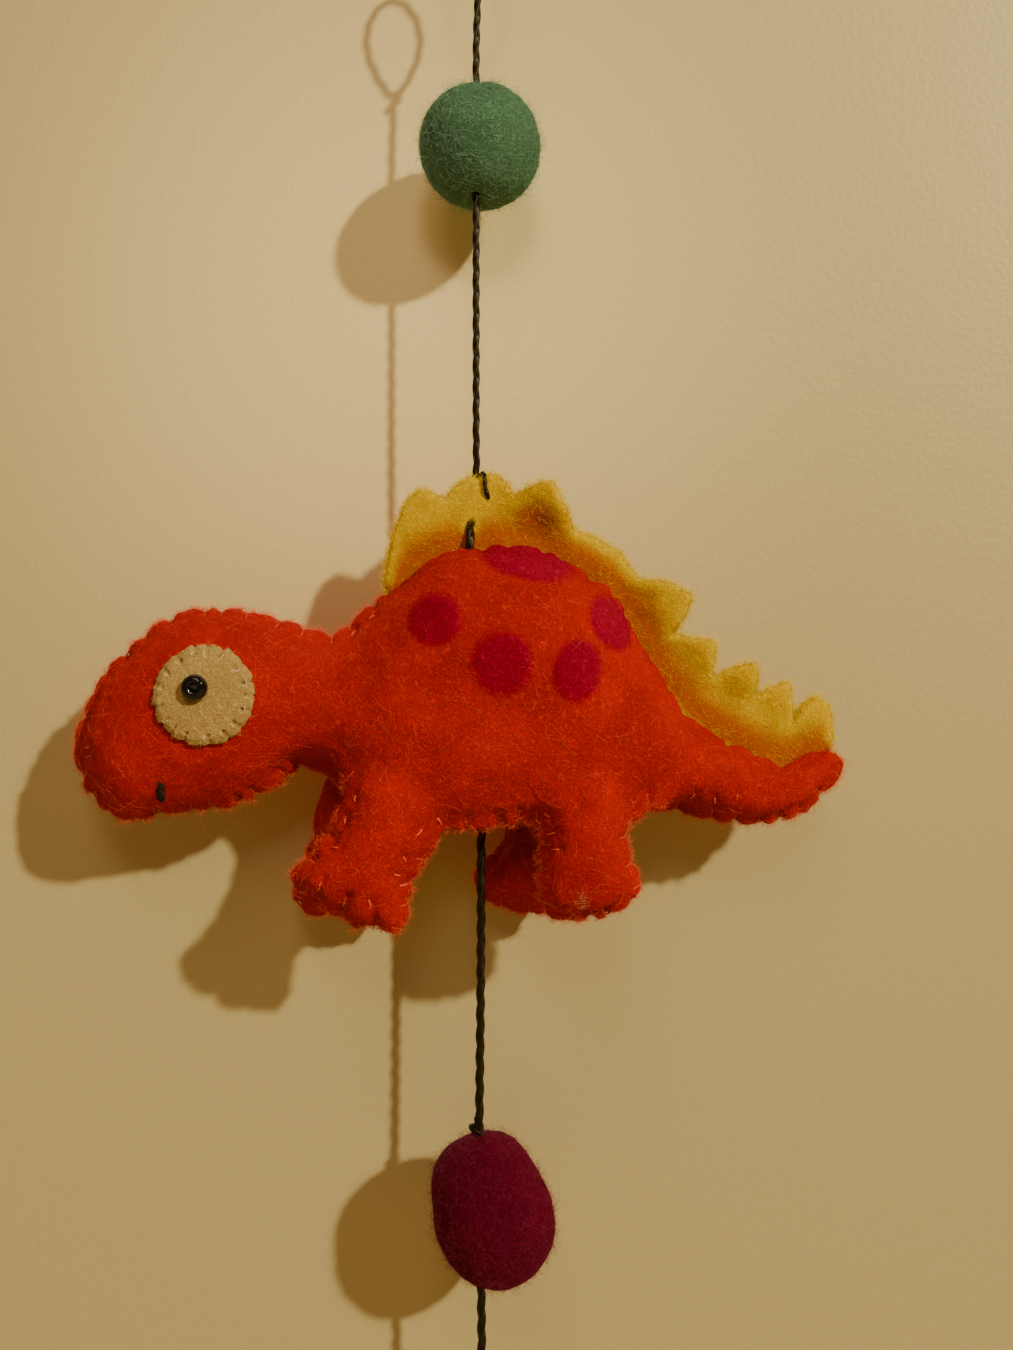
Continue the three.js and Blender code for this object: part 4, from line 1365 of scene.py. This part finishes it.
# Each row: name, carrier, number of fibres, seed, wool, shortest and longest in mm, share
# that stands up, points of one fibre, radius in mm, places.
fibre_jobs = [
    ("body_fuzz", body, 9200, 11, "orange_felt", (0.5, 1.6), 0.45, 3, 0.018, plain_places),
    ("edge_fuzz", body, 9900, 19, "orange_edge", (0.4, 1.6), 0.90, 3, 0.025, sewn_edges),
    ("body_fibres", body, 2000, 18, "orange_hair", (1.4, 4.6), 0.10, 6, 0.017, plain_places),
    ("spot_fuzz", body, 1500, 12, "crimson_wool", (0.5, 1.4), 0.40, 3, 0.020, spot_places),
    ("foot_tuft", body, 90, 20, "pale_wool", (0.4, 0.9), 0.2, 5, 0.016, foot_spot),
    ("crest_fuzz", crest, 3300, 13, "yellow_felt", (0.6, 1.8), 0.45, 3, 0.020, None),
    ("crest_edge", crest, 8000, 21, "yellow_felt", (0.4, 1.7), 0.95, 3, 0.029, cut_edges),
    ("green_fuzz", ball_green, 3400, 14, "green_felt", (0.8, 2.6), 0.34, 4, 0.020, None),
    ("plum_fuzz", ball_plum, 4000, 15, "plum_felt", (0.7, 2.3), 0.55, 4, 0.017, None),
    ("disc_fuzz_near", discs[0], 750, 16, "cream_felt", (0.4, 1.1), 0.60, 3, 0.02, None),
    ("disc_fuzz_far", discs[1], 750, 17, "cream_felt", (0.4, 1.1), 0.60, 3, 0.02, None),
]
fibres = {}
for name, carrier, count, seed, felt, long, stand, steps, thick, keep in fibre_jobs:
    piece = fibres_on(name, carrier, count, seed, long, stand, steps, thick, keep)
    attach(piece, "root")
    fibres[name] = (piece, felt)
    print(name, "triangles:", triangles_of(piece))

# %% [markdown]
# ## How felt looks
# Close up, felt is a mat of curled fibres, lighter on top and darker in between, over
# slow patches where the dye took more or less. Two ridged noise patterns give the curls
# and one broad noise gives the patches. They live in one shader group, because every felt
# uses the same effect with other colours.

# %% Shader group for felt
def new_group(name, inputs, outputs):
    """An empty shader group with these sockets, its input node and its output node."""
    group = bpy.data.node_groups.new(name, "ShaderNodeTree")
    for way, rows in (("INPUT", inputs), ("OUTPUT", outputs)):
        for label, kind in rows:
            group.interface.new_socket(label, in_out=way, socket_type="NodeSocket" + kind)
    return group, group.nodes.new("NodeGroupInput"), group.nodes.new("NodeGroupOutput")


def link(tree, source, target):
    tree.links.new(source, target)


def fill_in(tree, node, values):
    """Fills sockets, found by name or number, with a number, a colour or a link."""
    for label, value in values.items():
        target = node.inputs[label]
        if isinstance(value, tuple):
            target.default_value = (*value, 1)[: len(target.default_value)]
        elif isinstance(value, (int, float)):
            target.default_value = value
        else:
            link(tree, value, target)


def math_node(tree, operation, *values, clamp=False):
    made = tree.nodes.new("ShaderNodeMath")
    made.operation = operation
    made.use_clamp = clamp
    fill_in(tree, made, dict(enumerate(values)))
    return made.outputs[0]


def plus(tree, first, second):
    return math_node(tree, "ADD", first, second)


def minus(tree, first, second, clamp=False):
    return math_node(tree, "SUBTRACT", first, second, clamp=clamp)


def times(tree, first, second, clamp=False):
    return math_node(tree, "MULTIPLY", first, second, clamp=clamp)


def noise_node(tree, vector, scale, detail=2.0, rough=0.5, distort=0.0):
    made = tree.nodes.new("ShaderNodeTexNoise")
    fill_in(tree, made, {"Vector": vector, "Scale": scale, "Detail": detail})
    fill_in(tree, made, {"Roughness": rough, "Distortion": distort})
    return made.outputs["Fac"]


def ridge(tree, value, width):
    """1 on the thin lines where a noise passes through its middle."""
    away = math_node(tree, "ABSOLUTE", minus(tree, value, 0.5))
    return minus(tree, 1.0, math_node(tree, "DIVIDE", away, width), clamp=True)


def mix_colour(tree, share, first, second):
    made = tree.nodes.new("ShaderNodeMix")
    made.data_type = "RGBA"
    fill_in(tree, made, {0: share, 6: first, 7: second})
    return made.outputs[2]


WOOL_COLOURS = ("Wool", "Deep", "Light")
# Each pattern: how fine it is, its detail, its roughness and how much it is distorted,
# and for the thin lines also how wide they are.
CURLS = ((900, 1.5, 0.5, 1.2), 0.06)
THIN_CURLS = ((1900, 1.0, 0.5, 0.9), 0.09)
GAPS = ((640, 2.0, 0.5, 1.6), 0.05)
GRIT = (3600, 2.0, 0.6)
PATCHES = (110, 3.0, 0.55)
# How much thin curls count beside the others, and grit beside curls in the height.
THIN_SHARE = 0.75
GRIT_SHARE = 0.8
# Where the patches and the grit start to show, and how sharply they do.
PATCH_START = 0.34
PATCH_SHARP = 1.9
GRIT_START = 0.57
GRIT_SHARP = 2.6
# How much of the deep colour the gaps take and of the light one the curls.
GAP_DARK = 0.32
CURL_LIGHT = 0.30
DULL = 0.97
CURL_SHINE = 0.12


def felt_group():
    """Curls, grit and patches of wool: a colour, a height for the bump and a roughness."""
    group, inward, outward = new_group(
        "wool mat",
        [("Vector", "Vector"), *((label, "Color") for label in WOOL_COLOURS)],
        [("Colour", "Color"), ("Height", "Float"), ("Roughness", "Float")],
    )
    vector = inward.outputs["Vector"]
    coarse, fine, gaps = (
        ridge(group, noise_node(group, vector, *pattern), width)
        for pattern, width in (CURLS, THIN_CURLS, GAPS)
    )
    grit, patches = (noise_node(group, vector, *pattern) for pattern in (GRIT, PATCHES))
    wool, deep, light = (inward.outputs[label] for label in WOOL_COLOURS)
    curls = math_node(group, "MAXIMUM", coarse, times(group, fine, THIN_SHARE))
    height = plus(group, curls, times(group, grit, GRIT_SHARE))
    shade = times(group, minus(group, patches, PATCH_START), PATCH_SHARP, clamp=True)
    gritty = times(group, minus(group, GRIT_START, grit), GRIT_SHARP, clamp=True)
    colour = mix_colour(group, shade, deep, wool)
    colour = mix_colour(group, gritty, colour, deep)
    colour = mix_colour(group, times(group, gaps, GAP_DARK), colour, deep)
    colour = mix_colour(group, times(group, curls, CURL_LIGHT), colour, light)
    rough = minus(group, DULL, times(group, curls, CURL_SHINE))
    fill_in(group, outward, {"Colour": colour, "Height": height, "Roughness": rough})
    return group


wool_mat = felt_group()
print("group nodes:", len(wool_mat.nodes))

# %% Felt materials
def blank_material(name):
    material = bpy.data.materials.new(name)
    material.use_nodes = True
    tree = material.node_tree
    shader = next(node for node in tree.nodes if node.type == "BSDF_PRINCIPLED")
    return material, tree, shader


def object_place(tree):
    return tree.nodes.new("ShaderNodeTexCoord").outputs["Object"]


def bump_into(tree, height, shader, distance):
    bump = tree.nodes.new("ShaderNodeBump")
    fill_in(tree, bump, {"Distance": distance, "Strength": 1.0, "Height": height})
    link(tree, bump.outputs["Normal"], shader.inputs["Normal"])


def wool_node(tree, colours):
    """The wool mat in a material, with the three colours of its felt."""
    mat = tree.nodes.new("ShaderNodeGroup")
    mat.node_tree = wool_mat
    fill_in(tree, mat, {"Vector": object_place(tree), **dict(zip(WOOL_COLOURS, colours))})
    return mat


def felt_material(name, colours, sheen, bump=0.26 * MM, glow=0.0):
    """Felt in three colours. glow is the share of light that passes through its fibres."""
    material, tree, shader = blank_material(name)
    mat = wool_node(tree, colours)
    fill_in(tree, shader, {
        "Base Color": mat.outputs["Colour"],
        "Roughness": mat.outputs["Roughness"],
        "Specular IOR Level": 0.06,
        "Sheen Weight": sheen,
        "Sheen Roughness": 0.45,
        "Sheen Tint": colours[2],
    })
    if glow:
        through = {"Weight": glow, "Radius": (1.0, 0.6, 0.3), "Scale": 1.2 * MM}
        fill_in(tree, shader, {"Subsurface " + label: value for label, value in through.items()})
    bump_into(tree, mat.outputs["Height"], shader, bump)
    return material, tree, shader, mat


def attribute(tree, name):
    node = tree.nodes.new("ShaderNodeAttribute")
    node.attribute_name = name
    return node.outputs["Fac"]


# Each felt: the wool's own colour, the deep colour between fibres, the light on top.
ORANGE = ((0.82, 0.010, 0.002), (0.40, 0.002, 0.001), (0.96, 0.065, 0.018))
CRIMSON = ((0.48, 0.001, 0.045), (0.28, 0.000, 0.022), (0.66, 0.010, 0.07))
YELLOW = ((0.71, 0.52, 0.0), (0.65, 0.37, 0.0), (0.76, 0.60, 0.0))
# Painted shade and orange bounce light, mixed into the crest near the body and in its fold.
PAINTED_SHADE_AMBER = ((0.56, 0.145, 0.0), (0.44, 0.08, 0.0), (0.64, 0.22, 0.0))
GREEN = ((0.130, 0.300, 0.160), (0.055, 0.130, 0.068), (0.25, 0.45, 0.27))
PLUM = ((0.155, 0.001, 0.018), (0.085, 0.000, 0.011), (0.26, 0.010, 0.050))
CREAM = ((0.58, 0.40, 0.14), (0.40, 0.24, 0.065), (0.74, 0.57, 0.25))

# A paler yellow, painted on the crest's cut edge as rim light.
RIM_LIGHT_YELLOW = (0.84, 0.60, 0.01)
THIN_BUMP = 0.16 * MM

yellow_felt, tree, shader, mat = felt_material("yellow felt", YELLOW, 0.04, THIN_BUMP, 0.5)
# The crest's yellow is mixed towards amber where shade and bounce light are painted.
painted_shade_mat = wool_node(tree, PAINTED_SHADE_AMBER)
painted_orange_shade = attribute(tree, "painted_orange_shade")
shaded_yellow = mix_colour(tree, painted_orange_shade, mat.outputs["Colour"], painted_shade_mat.outputs["Colour"])
# Painted rim light: the cut edge is mixed towards a paler yellow.
rim_light_share = times(tree, attribute(tree, "painted_rim_light"), 0.28)
link(tree, mix_colour(tree, rim_light_share, shaded_yellow, RIM_LIGHT_YELLOW), shader.inputs["Base Color"])
green_felt = felt_material("green felt", GREEN, 0.20)[0]
plum_felt = felt_material("plum felt", PLUM, 0.32)[0]
cream_felt = felt_material("cream felt", CREAM, 0.10, THIN_BUMP, 0.3)[0]
print("felts made:", len([m for m in bpy.data.materials if m.name.endswith("felt")]))

# %% [markdown]
# The body's felt also carries the spots. Each spot is an oval in the side view, so its
# mask needs only the two coordinates of that view. Two small noises move the edge in and
# out, which frays it as the needle does.

# %% Orange felt with crimson spots
def noise_about(tree, vector, scale, detail, rough, size):
    """A noise around zero of this size."""
    return times(tree, minus(tree, noise_node(tree, vector, scale, detail, rough), 0.5), size)


# How fine each noise is, its detail, its roughness and how far it moves the edge, then how
# much wider the spots are than their ovals and how sharp their edge is.
FRAY = (900, 3.0, 0.6, 0.30)
WAVE = (190, 2.0, 0.5, 0.28)
SPOT_WIDER = 0.12
SPOT_SHARP = 3.4


def spot_group():
    """A mask that is 1 in the spots and 0 on the plain felt, with a soft frayed edge."""
    group, inward, outward = new_group(
        "needle-felted spots", [("Vector", "Vector")], [("Mask", "Float")]
    )
    vector = inward.outputs["Vector"]
    split = group.nodes.new("ShaderNodeSeparateXYZ")
    link(group, vector, split.inputs[0])
    fray, wave = (noise_about(group, vector, *noise) for noise in (FRAY, WAVE))
    edge = plus(group, 1.0, plus(group, fray, wave))
    best = None
    for x, z, half_wide, half_tall, lean in SPOTS:
        right = minus(group, split.outputs["X"], x * MM)
        up = minus(group, split.outputs["Z"], (z + BODY_MIDDLE) * MM)
        squares = []
        for slope, half in ((lean, half_wide), (lean + 90, half_tall)):
            turn = math.radians(slope)
            along = plus(
                group,
                times(group, right, math.cos(turn) / (half * MM)),
                times(group, up, math.sin(turn) / (half * MM)),
            )
            squares.append(times(group, along, along))
        inner = minus(group, edge, math_node(group, "SQRT", plus(group, *squares)))
        best = inner if best is None else math_node(group, "MAXIMUM", best, inner)
    mask = times(group, plus(group, best, SPOT_WIDER), SPOT_SHARP, clamp=True)
    link(group, mask, outward.inputs["Mask"])
    return group


orange_felt, tree, shader, mat = felt_material("orange felt", ORANGE, 0.12, glow=0.25)
spots = tree.nodes.new("ShaderNodeGroup")
spots.node_tree = spot_group()
link(tree, object_place(tree), spots.inputs["Vector"])
crimson_mat = wool_node(tree, CRIMSON)
both = mix_colour(tree, spots.outputs["Mask"], mat.outputs["Colour"], crimson_mat.outputs["Colour"])
link(tree, both, shader.inputs["Base Color"])
print("spots:", len(SPOTS))

# %% [markdown]
# ## Loose fibres, thread, cord and glass
# The fibres are a little lighter than their felt. The cord is nearly black with a waxy
# shine along its plies, the mouth is dull black thread, and the bead is the only mirror
# on the whole mobile.

# %% Thread, wax and glass
def thread_material(name, dark, light, rough=0.8, scale=2400):
    """Spun or loose wool, streaked between a dark and a light colour."""
    material, tree, shader = blank_material(name)
    grain = noise_node(tree, object_place(tree), scale, 3.0, 0.6)
    streaked = mix_colour(tree, grain, dark, light)
    fill_in(tree, shader, {"Base Color": streaked, "Roughness": rough, "Specular IOR Level": 0.25})
    bump_into(tree, grain, shader, 0.06 * MM)
    return material


orange_thread = thread_material("orange sewing thread", (0.45, 0.015, 0.002), (0.90, 0.12, 0.03))
pale_thread = thread_material("pale orange thread", (0.72, 0.06, 0.02), (0.90, 0.15, 0.06))
cream_thread = thread_material("cream sewing thread", (0.50, 0.38, 0.14), (0.76, 0.64, 0.34))
black_thread = thread_material("black thread", (0.004, 0.003, 0.003), (0.020, 0.016, 0.014))
# Each row: wool, name, dark colour, light colour, how many streaks there are in a metre.
FIBRE_ROWS = [
    ("orange_felt", "orange wool fibre", (0.60, 0.008, 0.001), (0.94, 0.07, 0.016), 300),
    ("orange_hair", "long orange fibre", (0.80, 0.030, 0.012), (0.97, 0.22, 0.12), 250),
    ("orange_edge", "orange edge fibre", (0.80, 0.03, 0.008), (0.96, 0.20, 0.09), 250),
    ("crimson_wool", "crimson wool fibre", (0.34, 0.000, 0.022), (0.62, 0.008, 0.07), 300),
    ("yellow_felt", "yellow wool fibre", (0.80, 0.52, 0.0), (0.95, 0.74, 0.01), 300),
    ("green_felt", "green wool fibre", (0.11, 0.28, 0.16), (0.26, 0.50, 0.33), 300),
    ("plum_felt", "plum wool fibre", (0.15, 0.001, 0.022), (0.34, 0.03, 0.09), 300),
    ("pale_wool", "pale wool fibre", (0.60, 0.30, 0.16), (0.85, 0.62, 0.42), 300),
    ("cream_felt", "cream wool fibre", (0.58, 0.39, 0.11), (0.80, 0.62, 0.26), 300),
]
fibre_looks = {
    wool: thread_material(name, dark, light, 0.9, scale)
    for wool, name, dark, light, scale in FIBRE_ROWS
}

wax, tree, shader = blank_material("waxed cord")
streak = noise_node(tree, object_place(tree), 1400, 3.0, 0.6)
fill_in(tree, shader, {
    "Base Color": mix_colour(tree, streak, (0.002, 0.0015, 0.001), (0.014, 0.009, 0.005)),
    "Roughness": plus(tree, times(tree, streak, 0.30), 0.26),
    "Specular IOR Level": 0.30,
    "Specular Tint": (1.0, 0.78, 0.50),
})
bump_into(tree, streak, shader, 0.05 * MM)

glass, tree, shader = blank_material("black glass")
smear = noise_node(tree, object_place(tree), 500, 2.0, 0.5)
# Painted reflection: the black turns pale brown towards the bead's grazing rim, as the room would
# show mirrored in the glass.
rim = tree.nodes.new("ShaderNodeLayerWeight").outputs["Facing"]
rim = times(tree, minus(tree, rim, 0.80), 5.0, clamp=True)
black = mix_colour(tree, smear, (0.002, 0.002, 0.002), (0.006, 0.005, 0.005))
fill_in(tree, shader, {
    "Base Color": mix_colour(tree, rim, black, (0.30, 0.25, 0.17)),
    "Roughness": plus(tree, times(tree, smear, 0.08), 0.04),
    "Specular IOR Level": 0.5,
})
print("materials:", len(bpy.data.materials))

# %% Dress every piece
def dress(piece, material):
    piece.data.materials.clear()
    piece.data.materials.append(material)


WARDROBE = [
    (orange_felt, [body]),
    (orange_thread, [overcast]),
    (pale_thread, [shown_stitches]),
    (yellow_felt, [crest]),
    (green_felt, [ball_green]),
    (plum_felt, [ball_plum]),
    (cream_felt, discs),
    (cream_thread, [disc_thread]),
    (wax, cords),
    (black_thread, [*mouths, *(filling for _, filling in bead_parts)]),
    (glass, [ring for ring, _ in bead_parts]),
    *((fibre_looks[wool], [piece]) for piece, wool in fibres.values()),
]
for material, dressed in WARDROBE:
    for piece in dressed:
        dress(piece, material)
print("pieces dressed:", sum(len(dressed) for _, dressed in WARDROBE))

# %% [markdown]
# ## Backdrop, floor and light
# The mobile hangs in front of a plain pale wall, close enough to drop a soft shadow to its
# lower left. The wall shows only from the front. Seen from behind it lets the view
# through, and lamps shine through it, so that the back can be looked at too.

# %% Wall and floor
WALL_Y = 0.0192
FLOOR_Z = -0.264
# Where the painted glare of the lamp lies on the wall, in the wall's own coordinates, and how far
# it reaches.
PAINTED_SHINE_PLACE = (-0.020, 0.030, 0.0)
PAINTED_SHINE_REACH = 0.095
PAINT_DARKER = 0.94

STAGE_SIZE = 1.4

plane = bpy.ops.mesh.primitive_plane_add
wall = add_mesh(
    "wall", plane, size=STAGE_SIZE, location=(0, WALL_Y, -0.1), rotation=(math.radians(90), 0, 0)
)
floor = add_mesh("floor", plane, size=STAGE_SIZE, location=(0, WALL_Y - STAGE_SIZE / 2, FLOOR_Z))


def backdrop_material(name, colour, shine, rough, painted_glare=1.0):
    """Satin paint with a painted glare: paler round one place, where the lamp's shine would lie on
    it.
    """
    material, tree, shader = blank_material(name)
    tone = noise_node(tree, object_place(tree), 900, 2.0, 0.6)
    paint = mix_colour(tree, tone, tuple(c * PAINT_DARKER for c in colour), colour)
    away = tree.nodes.new("ShaderNodeVectorMath")
    away.operation = "DISTANCE"
    fill_in(tree, away, {0: object_place(tree), 1: PAINTED_SHINE_PLACE})
    near = tree.nodes.new("ShaderNodeMapRange")
    near.interpolation_type = "SMOOTHSTEP"
    reach = {"Value": away.outputs["Value"], "From Min": PAINTED_SHINE_REACH, "From Max": 0.0}
    fill_in(tree, near, reach)
    # Painted light: the paint is made paler round that place, standing in for the lamp's glare.
    glare_colour = tuple(c * painted_glare for c in colour)
    fill_in(tree, shader, {
        "Base Color": mix_colour(tree, near.outputs["Result"], paint, glare_colour),
        "Roughness": rough,
        "Specular IOR Level": shine,
        "Specular Tint": (1.0, 0.84, 0.50),
    })
    bump_into(tree, tone, shader, 0.06 * MM)
    output = next(node for node in tree.nodes if node.type == "OUTPUT_MATERIAL")
    clear = tree.nodes.new("ShaderNodeBsdfTransparent")
    behind = tree.nodes.new("ShaderNodeNewGeometry")
    choice = tree.nodes.new("ShaderNodeMixShader")
    from_lamp = tree.nodes.new("ShaderNodeLightPath").outputs["Is Shadow Ray"]
    unseen = math_node(tree, "MAXIMUM", behind.outputs["Backfacing"], from_lamp)
    fill_in(tree, choice, {0: unseen, 1: shader.outputs[0], 2: clear.outputs[0]})
    link(tree, choice.outputs[0], output.inputs["Surface"])
    return material


# The wall's paint is 1.55 times as light at the middle of the painted glare.
dress(wall, backdrop_material("pale wall", (0.53, 0.44, 0.205), 1.0, 0.46, 1.55))
dress(floor, backdrop_material("pale floor", (0.45, 0.35, 0.16), 0.2, 0.9))
wall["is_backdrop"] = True
floor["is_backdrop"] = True
print("wall behind the cord in mm:", round(WALL_Y / MM, 1))

# %% Lights
def light(kind, name, place, target, power, colour, **settings):
    """Adds a lamp that shines at the target."""
    bpy.ops.object.light_add(type=kind, location=place)
    lamp = bpy.context.object
    lamp.name = name
    lamp.rotation_euler = (Vector(target) - Vector(place)).to_track_quat("-Z", "Y").to_euler()
    lamp.data.energy = power
    lamp.data.color = colour
    for setting, value in settings.items():
        setattr(lamp.data, setting, value)


MIDDLE = (0.0, 0.0, -0.13)
light("AREA", "key", (2.37, -3.0, 1.76), MIDDLE, 178.0, (1.0, 0.91, 0.64), size=0.13)
light("AREA", "fill", (-0.04, -0.32, 0.15), MIDDLE, 0.32, (1.0, 0.72, 0.46), size=0.16)
light(
    "SPOT", "above", (0.02, -0.54, 0.165), (-0.01, WALL_Y, -0.05), 1.8, (1.0, 0.93, 0.70),
    spot_size=math.radians(34), spot_blend=1.0, shadow_soft_size=0.06,
)
light("AREA", "behind", (-0.25, 0.60, 0.20), MIDDLE, 3.6, (1.0, 0.88, 0.70), size=0.5)
print("lamps:", len(bpy.data.lights))

# %% World
# A faint warm glow lights the mobile from all round. Where the view passes the wall and
# the floor it meets plain paper.
world = bpy.data.worlds.new("studio")
bpy.context.scene.world = world
world.use_nodes = True
tree = world.node_tree
glow = tree.nodes["Background"]
fill_in(tree, glow, {"Color": (1.0, 0.50, 0.42), "Strength": 0.16})
paper = tree.nodes.new("ShaderNodeBackground")
fill_in(tree, paper, {"Color": (0.52, 0.44, 0.30)})
either = tree.nodes.new("ShaderNodeMixShader")
seen = tree.nodes.new("ShaderNodeLightPath").outputs["Is Camera Ray"]
fill_in(tree, either, {0: seen, 1: glow.outputs[0], 2: paper.outputs[0]})
link(tree, either.outputs[0], tree.nodes["World Output"].inputs["Surface"])
print("world nodes:", len(tree.nodes))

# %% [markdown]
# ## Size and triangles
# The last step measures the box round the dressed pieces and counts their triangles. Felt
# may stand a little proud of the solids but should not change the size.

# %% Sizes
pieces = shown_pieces()
low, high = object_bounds()
total = sum(triangles_of(piece) for piece in pieces if piece.type == "MESH")
print("pieces:", len(pieces), "triangles:", total)
